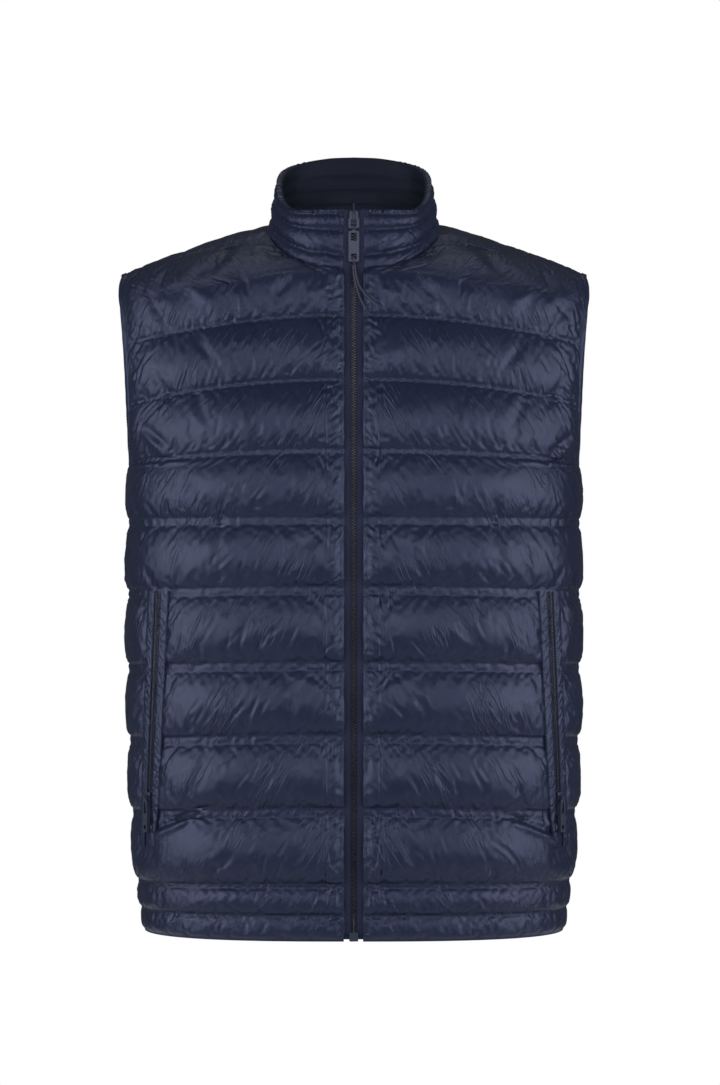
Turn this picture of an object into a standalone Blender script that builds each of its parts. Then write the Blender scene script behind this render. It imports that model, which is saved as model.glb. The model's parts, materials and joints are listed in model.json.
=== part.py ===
"""A padded sleeveless jacket standing in its worn shape, with nobody in it.

Quilted fronts and back, a stand collar, a full-length front zip with a linked pull and a cord, and a zipped
pocket on each side. Metres, +Z up. The front faces -Y, the wearer's left is +X, and the origin is on the
centre line at the height where the shoulders carry the garment. Sizes below are in millimetres.
"""

import math
from collections import namedtuple

import bmesh
import bpy
import numpy as np
from mathutils import Matrix, Vector

MM = 0.001
SEAM_GAP = 0.3
SHOULDER_GAP = 0.8

# Cloth walls: thin at every line of stitching, thick where the filling is free.
EDGE_WALL = 2.2
FRONT_PUFF = 8.5
SIDE_PUFF = 3.5
BACK_PUFF = 8.0
PUFF_ROUNDNESS = 0.55
FULL_CHANNEL = 58.0
EDGE_TAPER = 17.0
SQUARENESS = 2.4

# The front opening
EDGE_X = 10.0
TAPE_INNER_X = 3.9
TAPE_WALL = 1.8
CHAIN_HALF_WIDTH = 3.6
CHAIN_WALL = 2.4
ZIP_TOP_Z = 9.5
CHAIN_TOP_Z = -6.0
CHAIN_FOOT_Z = -690.0
TAPE_FOOT_Z = -697.0
ZIP_BOX_SIZE = (8.6, 3.6, 8.4)

# Armhole edging: a flat strip that ends each armhole.
BAND_WIDTH = 7.0
BAND_START = 2.6
BAND_RISE = 14.0
BAND_WALL = 2.4
UNDERARM_Z = -244.0
UNDERARM_STATION = -238.0

# Pockets
POCKET_TOP_Z = -364.0
POCKET_FOOT_Z = -612.0
POCKET_CHAIN_FOOT_Z = -556.0
POCKET_BAND = 17.0
POCKET_BED = 4.0
POCKET_BED_MARGIN = 18.0
POCKET_CHAIN_HALF_WIDTH = 3.4
POCKET_LIP_WIDTH = 10.5
POCKET_LIP_WALL = 2.0
POCKET_CHAIN_WALL = 1.8
POCKET_SLIDER_Z = -562.0
POCKET_SIDE_MARGIN = 25.0
POCKET_READ_SHARE = 0.8
POCKET_LINE = ((-602.0, 199.5), (-567.0, 196.5), (-370.0, 188.0))
CHEST_Z = -250.0
CHEST_COLUMN_SHARE = 0.72
FRONT_INNER_COLUMNS = 8
POCKET_SLIDER_SIZE = (6.0, 3.4, 9.0)
POCKET_LUG_SIZE = (1.0, 5.0, 3.2)
POCKET_LUG_X = 2.5
POCKET_LUG_OUT = 4.7
POCKET_HINGE = (0.0, -5.9, -0.5)
POCKET_PIN_RADIUS = 0.8
POCKET_PIN_LENGTH = 5.4

# The collar
COLLAR_SEAT = 3.8
COLLAR_PUFF = 4.2
COLLAR_RIM_WALL = 4.4
FACING_WALL = 1.4
FACING_RIB = 1.0

# The main pull
SLIDER_Z = 2.0
LINK_AXIS_Z = 0.6
LINK_AXIS_OUT = 8.0
LINK_DROP = 8.4
LINK_OUTLINES = ((10.6, 0.8, -LINK_DROP - 1.1, 1.3), (5.6, -0.8, -LINK_DROP + 1.1, 0.6))
LINK_THICKNESS = 1.6
SLIDER_CORE = (6.6, 6.6, 13.0)
SLIDER_CORE_OUT = 1.2
SLIDER_PLATE = (8.4, 2.2, 12.0)
SLIDER_FRONT_OUT = 3.6
SLIDER_BACK_IN = 2.2
RAIL_RADIUS = 0.9
CORD_RADIUS = 0.85
KNOT_DROP = 32.2
KNOT_RADII = (2.6, 2.9)

# The bent rail on the slider that the link hangs on: how far it stands out from the zip's inside face, and up.
SLIDER_RAIL = ((4.0, -2.2), (7.2, -2.2), (9.8, -1.2), (10.6, 1.0), (9.8, 4.5), (7.0, 10.5), (3.6, 14.6), (-0.2, 15.4),
               (-3.0, 13.4), (-4.2, 9.0), (-3.0, 5.0))

# Flat tabs that swing on an eye. An outline is its width, top, foot and corner, about the eye; the first is the
# plate and the others are its windows.
HingedTab = namedtuple("HingedTab", "outlines thickness neck neck_z eye_radius bore_radius segments")
EYE_WIDTH = 3.2
BORE_LENGTH = 8.0
MAIN_TAB = HingedTab(
    ((10.3, -3.6, -33.4, 1.0), (5.7, -5.4, -13.4, 0.6), (5.5, -25.6, -31.0, 0.6)),
    1.7, (3.2, 1.5, 2.4), -3.3, 2.6, 1.75, 16)
POCKET_TAB = HingedTab(
    ((7.4, -2.0, -34.0, 0.9), (3.6, -4.6, -16.0, 0.5), (3.6, -27.0, -31.0, 0.5)),
    1.6, (3.2, 1.4, 2.6), -2.4, 2.0, 1.2, 12)

PanelRow = namedtuple("PanelRow", "station inner_x inner_y inner_z outer_x outer_y outer_z wrap sag")

# Inside face of a front, row by row from the hem to the shoulder seam. A row runs from the front edge or the
# neckline (inner) to the side seam, the armhole or the shoulder tip (outer). Wrap is how far round a quarter
# turn it goes, and sag is how late along it the row drops.
FRONT_ROWS = (
    PanelRow(-699, 10.0, -112.0, -699, 207.5, 15.0, -700, 1.00, 2.0),
    PanelRow(-645, 10.0, -116.0, -645, 213.5, 15.0, -650, 1.00, 2.0),
    PanelRow(-560, 10.0, -119.0, -560, 219.5, 15.0, -569, 1.00, 2.0),
    PanelRow(-450, 10.0, -121.0, -450, 222.5, 15.0, -456, 1.00, 2.0),
    PanelRow(-340, 10.0, -122.0, -340, 223.0, 15.0, -345, 1.00, 2.0),
    PanelRow(-238, 10.0, -119.5, -238, 222.5, 15.0, -244, 1.00, 2.0),
    PanelRow(-231, 10.0, -119.0, -231, 222.3, 3.0, -240, 1.00, 2.0),
    PanelRow(-215, 10.0, -117.5, -215, 222.4, -13.0, -227, 0.99, 2.0),
    PanelRow(-192, 10.0, -114.0, -192, 222.9, -25.0, -207, 0.975, 2.0),
    PanelRow(-157, 10.0, -107.5, -157, 224.0, -34.0, -179, 0.95, 2.0),
    PanelRow(-94, 10.0, -95.5, -94, 227.5, -34.0, -119, 0.92, 1.8),
    PanelRow(-70, 10.0, -90.5, -70, 229.5, -31.0, -97, 0.90, 1.6),
    PanelRow(-52, 10.0, -87.0, -52, 231.0, -27.5, -82, 0.89, 1.5),
    PanelRow(-30, 40.0, -79.5, -47, 232.5, -23.0, -71, 0.89, 1.35),
    PanelRow(-5, 64.0, -58.0, -35, 233.0, -17.5, -62, 0.90, 1.25),
    PanelRow(20, 77.0, -38.0, -22, 232.5, -12.0, -55, 0.92, 1.2),
    PanelRow(45, 83.0, -25.0, -13, 231.0, -7.0, -51, 0.94, 1.15),
)

# Inside face of one half of the back, from the centre line or the neckline to the side. Its last row is the
# shoulder seam, which lies a little in front of the top of the shoulder.
BACK_ROWS = (
    PanelRow(-699, 0.0, 108.0, -700, 207.5, 15.3, -700, 1.00, 2.0),
    PanelRow(-645, 0.0, 108.0, -650, 213.5, 15.3, -650, 1.00, 2.0),
    PanelRow(-560, 0.0, 107.0, -568, 219.5, 15.3, -569, 1.00, 2.0),
    PanelRow(-450, 0.0, 106.0, -455, 222.5, 15.3, -456, 1.00, 2.0),
    PanelRow(-340, 0.0, 112.0, -343, 223.0, 15.3, -345, 1.00, 2.0),
    PanelRow(-238, 0.0, 122.0, -240, 222.5, 15.3, -244, 1.00, 2.0),
    PanelRow(-231, 0.0, 123.0, -234, 222.3, 29.0, -240, 1.00, 2.0),
    PanelRow(-215, 0.0, 125.0, -219, 222.4, 42.0, -227, 0.99, 2.0),
    PanelRow(-192, 0.0, 127.0, -198, 222.9, 50.0, -207, 0.975, 2.0),
    PanelRow(-157, 0.0, 128.0, -166, 223.5, 56.0, -179, 0.95, 2.0),
    PanelRow(-94, 0.0, 122.0, -103, 226.5, 55.0, -119, 0.92, 1.8),
    PanelRow(-70, 0.0, 116.0, -74, 228.5, 49.0, -97, 0.90, 1.6),
    PanelRow(-52, 0.0, 104.0, -42, 230.0, 42.0, -82, 0.89, 1.5),
    PanelRow(-30, 0.0, 67.0, 13, 231.5, 34.0, -68, 0.89, 1.3),
    PanelRow(-5, 44.0, 55.0, 10, 232.5, 22.0, -56, 0.90, 1.2),
    PanelRow(20, 80.0, 12.0, -1, 233.0, 8.0, -48, 0.93, 1.1),
    PanelRow(45, 83.0, -24.2, -13, 231.0, -6.2, -51, 0.94, 1.15),
)

# Lines of stitching across the panels, by station, from the hem up. The last is the shoulder seam.
HEM_STATION = -699.0
NECK_STATION = -52.0
BACK_NECK_STATION = -30.0
SHOULDER_STATION = 45.0
QUILT_LINES = (HEM_STATION, -674.0, -645.0, -574.0, -503.0, -433.0, -360.0, -293.0, -226.0, -157.0, -94.0,
               SHOULDER_STATION)
NARROW_CHANNEL = 35.0
NARROW_STEPS = (0.3, 0.7)
CHANNEL_STEPS = (0.16, 0.5, 0.84)
YOKE_STATIONS = (-83.0, -67.0, NECK_STATION, -41.0, BACK_NECK_STATION, -18.0, -6.0, 6.0, 18.0, 31.0)

CollarStation = namedtuple("CollarStation", "base_x base_y base_z rim_x rim_y rim_z")

# The neckline, which panels and collar share, and the collar's rim over it, from the front edge round to the
# centre of the back in even shares. The shoulder seam meets the neckline at SEAM_SHARE.
COLLAR_STATIONS = (
    CollarStation(10.0, -87.0, -52.0, 10.0, -86.0, 11.0),
    CollarStation(40.0, -79.5, -47.0, 37.0, -81.0, 11.0),
    CollarStation(64.0, -58.0, -35.0, 58.0, -69.0, 12.0),
    CollarStation(77.0, -38.0, -22.0, 71.0, -46.0, 20.5),
    CollarStation(83.0, -25.0, -13.0, 76.0, -24.0, 34.0),
    CollarStation(84.0, -5.0, -4.0, 77.0, -3.0, 46.0),
    CollarStation(79.0, 18.0, 2.0, 74.5, 18.0, 56.5),
    CollarStation(66.0, 40.0, 7.0, 64.0, 42.0, 67.0),
    CollarStation(44.0, 55.0, 10.5, 43.0, 61.0, 74.5),
    CollarStation(22.0, 64.0, 12.5, 22.0, 70.5, 78.0),
    CollarStation(0.0, 67.0, 13.0, 0.0, 73.0, 79.0),
)
SEAM_SHARE = 0.4
COLLAR_CHANNEL = 0.34
COLLAR_LINES = (0.0, COLLAR_CHANNEL, 2 * COLLAR_CHANNEL, 1.0)
COLLAR_STEPS = (0.2, 0.5, 0.8)
FACING_RISE = (0.0, 0.17, 0.34, 0.51, 0.68, 0.84, 1.0)

# Routes of the two cord tails, from the knot under the pull tab to their bare ends: across, forward, up.
LONG_TAIL = (
    (1.0, -94.2, -44.4), (2.2, -97.4, -54.0), (4.6, -98.6, -63.0), (9.6, -101.2, -71.5), (16.4, -104.6, -79.0),
    (23.6, -107.2, -85.6),
)
SHORT_TAIL = (
    (-1.0, -94.2, -44.4), (0.2, -97.2, -55.0), (2.4, -98.4, -65.0), (5.4, -100.6, -75.0), (8.8, -104.0, -83.0),
    (11.6, -106.0, -89.0),
)

SHELL_COLOUR = (0.030, 0.036, 0.066, 1.0)
LINING_COLOUR = (0.011, 0.013, 0.022, 1.0)
TAPE_COLOUR = (0.026, 0.031, 0.055, 1.0)
TEETH_COLOUR = (0.020, 0.020, 0.026, 1.0)
METAL_COLOUR = (0.085, 0.095, 0.125, 1.0)
CORD_COLOUR = (0.035, 0.040, 0.060, 1.0)


def clear_scene():
    """Takes away everything in the open file's scene."""
    for item in list(bpy.data.objects):
        bpy.data.objects.remove(item, do_unlink=True)


def make_material(name, colour, roughness, metallic=0.0):
    """A plain Principled material."""
    material = bpy.data.materials.new(name)
    material.use_nodes = True
    shader = material.node_tree.nodes["Principled BSDF"]
    shader.inputs["Base Color"].default_value = colour
    shader.inputs["Roughness"].default_value = roughness
    shader.inputs["Metallic"].default_value = metallic
    return material


def smooth_values(keys, values, at):
    """Reads a table at new keys, on a smooth curve that never overshoots the table's own values."""
    keys = np.asarray(keys, float)
    values = np.asarray(values, float)
    at = np.asarray(at, float)
    steps = np.diff(keys)
    slopes = np.diff(values) / steps
    rates = np.zeros_like(values)
    same_way = slopes[:-1] * slopes[1:] > 0
    before = 2 * steps[1:] + steps[:-1]
    after = steps[1:] + 2 * steps[:-1]
    safe_low = np.where(same_way, slopes[:-1], 1.0)
    safe_high = np.where(same_way, slopes[1:], 1.0)
    rates[1:-1] = np.where(same_way, (before + after) / (before / safe_low + after / safe_high), 0.0)
    rates[0] = slopes[0]
    rates[-1] = slopes[-1]
    span = np.clip(np.searchsorted(keys, at, side="right") - 1, 0, len(keys) - 2)
    part = (at - keys[span]) / steps[span]
    rest = 1 - part
    return (values[span] * (1 + 2 * part) * rest ** 2 + rates[span] * steps[span] * part * rest ** 2
            + values[span + 1] * (3 - 2 * part) * part ** 2 - rates[span + 1] * steps[span] * part ** 2 * rest)


def ease(value):
    """Goes from 0 to 1 with level ends."""
    value = np.clip(value, 0.0, 1.0)
    return value * value * (3 - 2 * value)


def neckline(share):
    """Point of the neckline at a share of the way from the front edge to the centre of the back."""
    keys = np.linspace(0.0, 1.0, len(COLLAR_STATIONS))
    return [float(smooth_values(keys, [getattr(row, name) for row in COLLAR_STATIONS], share))
            for name in ("base_x", "base_y", "base_z")]


def neck_share(table, station):
    """Share of the neckline at which a row above the neck starts."""
    if table is FRONT_ROWS:
        return SEAM_SHARE * (station - NECK_STATION) / (SHOULDER_STATION - NECK_STATION)
    return 1 - (1 - SEAM_SHARE) * (station - BACK_NECK_STATION) / (SHOULDER_STATION - BACK_NECK_STATION)


def row_at(table, station):
    """One row of a panel's table, at any station. Its inner end follows the neckline where that is its edge."""
    keys = [row.station for row in table]
    columns = {name: float(smooth_values(keys, [getattr(row, name) for row in table], station))
               for name in PanelRow._fields if name != "station"}
    start = NECK_STATION if table is FRONT_ROWS else BACK_NECK_STATION
    if station > start:
        columns["inner_x"], columns["inner_y"], columns["inner_z"] = neckline(neck_share(table, station))
        if table is BACK_ROWS:
            columns["inner_y"] += SHOULDER_GAP * (station - start) / (SHOULDER_STATION - start)
    return PanelRow(station=station, **columns)


def row_curve(table, station, samples=120):
    """Close points along one row of a panel's inside face, from the inner to the outer edge."""
    row = row_at(table, station)
    turn = math.asin(min(row.wrap, 1.0) ** (SQUARENESS / 2))
    angle = np.linspace(0.0, turn, samples)
    across = np.sin(angle) ** (2 / SQUARENESS) / row.wrap
    deep = (1 - np.cos(angle) ** (2 / SQUARENESS)) / (1 - math.cos(turn) ** (2 / SQUARENESS) if turn < 1.57 else 1)
    return np.stack([
        row.inner_x + (row.outer_x - row.inner_x) * across,
        row.inner_y + (row.outer_y - row.inner_y) * deep,
        row.inner_z + (row.outer_z - row.inner_z) * across ** row.sag,
    ], axis=1)


def run_of(curve):
    """Distance along a curve at each of its points."""
    return np.concatenate([[0.0], np.cumsum(np.linalg.norm(np.diff(curve, axis=0), axis=1))])


def points_at(curve, distances):
    """Points of a curve at distances along it."""
    run = run_of(curve)
    return np.stack([np.interp(distances, run, curve[:, axis]) for axis in range(3)], axis=1)


def band_width_at(curve):
    """Width that the armhole edging takes from a row's outer end."""
    rise = curve[-1, 2] - UNDERARM_Z
    if rise < -0.5:
        return 0.0
    return BAND_START + (BAND_WIDTH - BAND_START) * float(ease(rise / BAND_RISE))


def pocket_x(height):
    """Place of the pocket's line across the front's inside face, at a height."""
    heights, places = zip(*POCKET_LINE)
    return float(np.interp(height, heights, places))


def pocket_run(curve):
    """Distance along a row to the pocket's line, carried on straight above and below the pocket."""
    run = run_of(curve)
    near = float(np.interp(POCKET_READ_SHARE * run[-1], run, curve[:, 2]))
    if near > CHEST_Z:
        return CHEST_COLUMN_SHARE * run[-1]
    return float(np.interp(pocket_x(min(near, POCKET_TOP_Z)), curve[:, 0], run))


def front_columns(curve):
    """Distances along a front row at which its columns stand, the pocket's bed between three of them."""
    band = band_width_at(curve)
    end = run_of(curve)[-1] - (band + SEAM_GAP if band else 0.0)
    middle = min(pocket_run(curve), end - POCKET_BAND - POCKET_SIDE_MARGIN)
    return np.concatenate([
        np.linspace(0.0, middle - POCKET_BAND, FRONT_INNER_COLUMNS)[:-1],
        [middle - POCKET_BAND, middle, middle + POCKET_BAND],
        np.linspace(middle + POCKET_BAND, end, 4)[1:],
    ])


def back_columns(curve):
    """Distances along a half row of the back at which its columns stand."""
    band = band_width_at(curve)
    end = run_of(curve)[-1] - (band + SEAM_GAP if band else 0.0)
    return np.linspace(0.0, end, 12)


def quilt_rows():
    """Stations of the rows, with each one's share of the full padding. Narrow channels hold less of it."""
    rows = [(QUILT_LINES[0], 0.0)]
    for low, high in zip(QUILT_LINES[:-1], QUILT_LINES[1:]):
        steps = CHANNEL_STEPS
        if high - low < NARROW_CHANNEL:
            steps = NARROW_STEPS
        if high == SHOULDER_STATION:
            steps = [(station - low) / (high - low) for station in YOKE_STATIONS]
        fullness = min(1.0, (high - low) / FULL_CHANNEL)
        rows += [(low + (high - low) * step, fullness * puff_at(step)) for step in steps]
        rows.append((high, 0.0))
    return rows


def puff_at(step):
    """Share of the full padding at a place up a channel."""
    return max(4 * step * (1 - step), 0.0) ** PUFF_ROUNDNESS


def normals_of(grid):
    """Unit normals of a grid of points, by its rows and columns."""
    along = np.gradient(grid, axis=1)
    up = np.gradient(grid, axis=0)
    normals = np.cross(along, up)
    return normals / np.linalg.norm(normals, axis=2, keepdims=True)


def front_panel():
    """Inside points and walls of the front on the +X side."""
    points, walls = [], []
    middle_z = (POCKET_TOP_Z + POCKET_FOOT_Z) / 2
    half_bed = (POCKET_TOP_Z - POCKET_FOOT_Z) / 2 + POCKET_BED_MARGIN
    for station, padding in quilt_rows():
        curve = row_curve(FRONT_ROWS, station)
        columns = front_columns(curve)
        row = points_at(curve, columns)
        share = columns / columns[-1]
        puff = (FRONT_PUFF + (SIDE_PUFF - FRONT_PUFF) * share ** 2) * padding
        puff = puff * ease(columns / EDGE_TAPER) * ease((columns[-1] - columns) / EDGE_TAPER)
        wall = EDGE_WALL + puff
        beside = np.abs(columns - columns[FRONT_INNER_COLUMNS]) < POCKET_BAND + 1
        on_bed = beside & (np.abs(row[:, 2] - middle_z) < half_bed)
        walls.append(np.where(on_bed, POCKET_BED, wall))
        points.append(row)
    return np.array(points), np.array(walls)


def back_panel():
    """Inside points and walls of the +X half of the back, from the side to the centre line."""
    points, walls = [], []
    for station, padding in quilt_rows():
        curve = row_curve(BACK_ROWS, station)
        columns = back_columns(curve)
        row = points_at(curve, columns)
        share = columns / columns[-1]
        puff = (BACK_PUFF + (SIDE_PUFF - BACK_PUFF) * share ** 2) * padding
        puff = puff * ease((columns[-1] - columns) / EDGE_TAPER)
        free = 1 - float(ease((station - NECK_STATION) / (BACK_NECK_STATION - NECK_STATION)))
        puff = puff * np.maximum(ease(columns / EDGE_TAPER), free)
        points.append(row[::-1])
        walls.append(EDGE_WALL + puff[::-1])
    return np.array(points), np.array(walls)


def armhole_band():
    """Inside points of the +X armhole's edging, from the underarm up the front and down the back."""
    edge = []
    for table, upward in ((FRONT_ROWS, True), (BACK_ROWS, False)):
        part = []
        for station, _ in quilt_rows():
            curve = row_curve(table, station)
            width = band_width_at(curve)
            if width:
                end = run_of(curve)[-1]
                part.append(points_at(curve, [end - width, end - width / 2, end]))
        first = row_curve(table, UNDERARM_STATION)
        end = run_of(first)[-1]
        foot = points_at(first, [end - BAND_START, end - BAND_START / 2, end])
        part = [foot] + part
        edge += part if upward else part[-2::-1]
    return np.array(edge)


def collar_grid(inward, rise):
    """Inside points of the collar's rows, moved in by a distance, from the +X front edge round to the -X one."""
    keys = np.linspace(0.0, 1.0, len(COLLAR_STATIONS))
    stations = [station for station in YOKE_STATIONS if station >= NECK_STATION] + [SHOULDER_STATION]
    at = [neck_share(FRONT_ROWS, station) for station in stations]
    at += [neck_share(BACK_ROWS, station) for station in stations[-2::-1] if station >= BACK_NECK_STATION]
    half = {name: smooth_values(keys, [getattr(row, name) for row in COLLAR_STATIONS], at)
            for name in CollarStation._fields}
    base = np.stack([half["base_x"], half["base_y"], half["base_z"]], axis=1)
    rim = np.stack([half["rim_x"], half["rim_y"], half["rim_z"]], axis=1)
    grid = base[None] + (rim - base)[None] * np.asarray(rise)[:, None, None]
    level = grid * (1, 1, 0)
    around = np.gradient(level, axis=1)
    outward = np.stack([around[..., 1], -around[..., 0], np.zeros(around.shape[:2])], axis=2)
    outward /= np.linalg.norm(outward, axis=2, keepdims=True)
    outward[:, -1] = (0.0, 1.0, 0.0)
    grid = grid - outward * inward
    grid[:, 0, 0] = EDGE_X
    return np.concatenate([grid, grid[:, -2::-1] * (-1, 1, 1)], axis=1)


def collar_rise():
    """Heights of the collar's rows, as shares of its height."""
    rise = [0.0]
    for low, high in zip(COLLAR_LINES[:-1], COLLAR_LINES[1:]):
        rise += [low + (high - low) * step for step in COLLAR_STEPS] + [high]
    return np.array(rise)


def collar_walls(columns):
    """Walls of the collar's rows: three soft channels under a rolled rim, thinner beside the zip."""
    profile = []
    for rise in collar_rise():
        low = max(line for line in COLLAR_LINES[:-1] if line <= rise)
        step = (rise - low) / COLLAR_CHANNEL
        profile.append(EDGE_WALL + COLLAR_PUFF * puff_at(min(step, 1.0)))
    profile[-1] = COLLAR_RIM_WALL
    taper = np.ones(columns)
    taper[0] = taper[-1] = 0.0
    return EDGE_WALL + (np.array(profile)[:, None] - EDGE_WALL) * taper[None]


def zip_depth(height):
    """Inside face of the front opening's line at a height."""
    below = [(row.inner_z, row.inner_y) for row in FRONT_ROWS if row.station <= NECK_STATION]
    above = [(-30.0, -85.2), (ZIP_TOP_Z + 2, -85.6)]
    keys, values = zip(*(below + above))
    return smooth_values(keys, values, height)


def zip_strip(inner_x, outer_x, foot, top):
    """Inside points of a flat strip along the front opening."""
    bends = np.array([-60.0, -45.0, -30.0, -15.0])
    heights = np.concatenate([np.linspace(foot, -75.0, 16), bends[bends < top - 4], [top]])
    across = np.linspace(inner_x, outer_x, 2)
    return np.array([[(x, float(zip_depth(z)), z) for x in across] for z in heights])


def pocket_strip(low, high, foot, top, lift, rows=14):
    """Points of a strip beside the pocket's line, lifted off the front's inside face."""
    strip = []
    for height in np.linspace(foot, top, rows):
        curve = row_curve(FRONT_ROWS, height + 6.0)
        run = run_of(curve)
        middle = float(np.interp(pocket_x(height), curve[:, 0], run))
        strip.append(points_at(curve, np.linspace(middle + low, middle + high, 3)))
    strip = np.array(strip)
    return strip + normals_of(strip) * lift


def wall_object(name, inside, outside, material, collection, half=False):
    """A closed wall between two matching grids of points, or half of one, open at the centre line."""
    rows, columns = inside.shape[:2]
    mesh = bmesh.new()
    bmesh.ops.create_grid(mesh, x_segments=columns - 1, y_segments=rows - 1, size=1.0)
    grown = bmesh.ops.extrude_face_region(mesh, geom=list(mesh.faces), use_keep_orig=True)
    outer = {item for item in grown["geom"] if isinstance(item, bmesh.types.BMVert)}
    for vert in mesh.verts:
        column = round((vert.co.x + 1) / 2 * (columns - 1))
        row = round((vert.co.y + 1) / 2 * (rows - 1))
        vert.co = Vector((outside if vert in outer else inside)[row, column] * MM)
    bmesh.ops.recalc_face_normals(mesh, faces=list(mesh.faces))
    if half:
        middle = [face for face in mesh.faces if all(abs(vert.co.x) < 0.000001 for vert in face.verts)]
        bmesh.ops.delete(mesh, geom=middle, context="FACES")
    data = bpy.data.meshes.new(name)
    mesh.to_mesh(data)
    mesh.free()
    data.shade_smooth()
    data.set_sharp_from_angle(angle=math.radians(50))
    data.materials.append(material)
    made = bpy.data.objects.new(name, data)
    collection.objects.link(made)
    if half:
        mirror = made.modifiers.new("other_half", "MIRROR")
        mirror.merge_threshold = 0.00005
    return made


def padded_object(name, inside, walls, material, collection, half=False):
    """A wall of padded cloth laid on the outside of its inside face."""
    outside = inside + normals_of(inside) * walls[..., None]
    if half:
        outside[np.abs(inside[..., 0]) < 0.001, 0] = 0.0
    return wall_object(name, inside, outside, material, collection, half)


def mirrored(grid):
    """The same grid on the other side of the centre line, running the other way."""
    return grid[:, ::-1] * (-1, 1, 1)


def box_mesh(mesh, size, place, bevel=0.0):
    """Adds a box to a mesh, in millimetres."""
    made = bmesh.ops.create_cube(mesh, size=1.0)
    bmesh.ops.scale(mesh, vec=Vector(size) * MM, verts=made["verts"])
    bmesh.ops.translate(mesh, vec=Vector(place) * MM, verts=made["verts"])
    if bevel:
        edges = {edge for vert in made["verts"] for edge in vert.link_edges}
        bmesh.ops.bevel(mesh, geom=list(edges), offset=bevel * MM, segments=2, affect="EDGES", profile=0.5)


def mesh_object(name, mesh, material, collection):
    """Ends a mesh under construction as an object."""
    data = bpy.data.meshes.new(name)
    mesh.to_mesh(data)
    mesh.free()
    data.materials.append(material)
    made = bpy.data.objects.new(name, data)
    collection.objects.link(made)
    return made


def plate_object(name, outlines, thickness, material, collection):
    """A flat plate in X and Z with windows, its first outline outermost, as a mesh."""
    curve = bpy.data.curves.new(name, "CURVE")
    curve.dimensions = "2D"
    curve.fill_mode = "BOTH"
    curve.extrude = thickness / 2 * MM
    for outline in outlines:
        spline = curve.splines.new("POLY")
        spline.points.add(len(outline) - 1)
        for point, (x, z) in zip(spline.points, outline):
            point.co = (x * MM, z * MM, 0.0, 1.0)
        spline.use_cyclic_u = True
    drawn = bpy.data.objects.new(name + "_outline", curve)
    collection.objects.link(drawn)
    drawn.rotation_euler = (math.pi / 2, 0.0, 0.0)
    made = solid_from_curve(name, drawn, material, collection)
    return made


def solid_from_curve(name, drawn, material, collection):
    """Replaces a curve object by a closed mesh of it."""
    bpy.context.view_layer.update()
    ready = drawn.evaluated_get(bpy.context.evaluated_depsgraph_get())
    data = bpy.data.meshes.new_from_object(ready)
    mesh = bmesh.new()
    mesh.from_mesh(data)
    bmesh.ops.remove_doubles(mesh, verts=list(mesh.verts), dist=0.00001)
    bmesh.ops.transform(mesh, matrix=drawn.matrix_world, verts=list(mesh.verts))
    bmesh.ops.recalc_face_normals(mesh, faces=list(mesh.faces))
    bpy.data.meshes.remove(data)
    bpy.data.objects.remove(drawn, do_unlink=True)
    return mesh_object(name, mesh, material, collection)


def tube_object(name, route, radius, material, collection, cyclic=False):
    """A round bar or cord along a route, in millimetres, as a mesh."""
    curve = bpy.data.curves.new(name, "CURVE")
    curve.dimensions = "3D"
    curve.bevel_depth = radius * MM
    curve.bevel_resolution = 2
    curve.use_fill_caps = True
    spline = curve.splines.new("POLY")
    spline.points.add(len(route) - 1)
    for point, place in zip(spline.points, route):
        point.co = (*(Vector(place) * MM), 1.0)
    spline.use_cyclic_u = cyclic
    drawn = bpy.data.objects.new(name + "_route", curve)
    collection.objects.link(drawn)
    return solid_from_curve(name, drawn, material, collection)


def rounded(width, top, foot, corner):
    """Outline of an upright rectangle about x = 0 with cut corners."""
    half = width / 2
    return [(-half + corner, foot), (half - corner, foot), (half, foot + corner), (half, top - corner),
            (half - corner, top), (-half + corner, top), (-half, top - corner), (-half, foot + corner)]


def smooth_route(points, count):
    """More points on a smooth curve through a few."""
    points = np.asarray(points, float)
    keys = run_of(points)
    at = np.linspace(0.0, keys[-1], count)
    return np.stack([smooth_values(keys, points[:, axis], at) for axis in range(3)], axis=1)


def bar_object(name, radius, length, segments, place, material, collection):
    """A round bar along X about a place, in millimetres."""
    mesh = bmesh.new()
    turn = Matrix.Translation(Vector(place) * MM) @ Matrix.Rotation(math.pi / 2, 4, "Y")
    bmesh.ops.create_cone(mesh, cap_ends=True, segments=segments, radius1=radius * MM, radius2=radius * MM,
                          depth=length * MM, matrix=turn)
    return mesh_object(name, mesh, material, collection)


def box_object(name, size, place, material, collection, bevel=0.0):
    """A box about a place, in millimetres."""
    mesh = bmesh.new()
    box_mesh(mesh, size, place, bevel)
    return mesh_object(name, mesh, material, collection)


def combine(made, others, operation, cutters):
    """Joins closed pieces to one, or cuts them out of it, and puts them with the cutters."""
    for other in others:
        step = made.modifiers.new(operation.lower() + "_" + other.name, "BOOLEAN")
        step.operation = operation
        step.object = other
        for holder in list(other.users_collection):
            holder.objects.unlink(other)
        cutters.objects.link(other)
        other.hide_render = True
        other.display_type = "WIRE"


def hinged_tab(name, sizes, place, metal, parts, cutters):
    """A flat tab with windows, on an eye that swings about X."""
    tab = plate_object(name, [rounded(*outline) for outline in sizes.outlines], sizes.thickness, metal, parts)
    neck = box_object(name + "_neck", sizes.neck, (0.0, 0.0, sizes.neck_z), metal, parts)
    centre = (0.0, 0.0, 0.0)
    eye = bar_object(name + "_eye", sizes.eye_radius, EYE_WIDTH, sizes.segments, centre, metal, parts)
    bore = bar_object(name + "_bore", sizes.bore_radius, BORE_LENGTH, sizes.segments, centre, metal, parts)
    combine(tab, [neck, eye], "UNION", cutters)
    combine(tab, [bore], "DIFFERENCE", cutters)
    for piece in (tab, neck, eye, bore):
        piece.matrix_world = place


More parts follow.
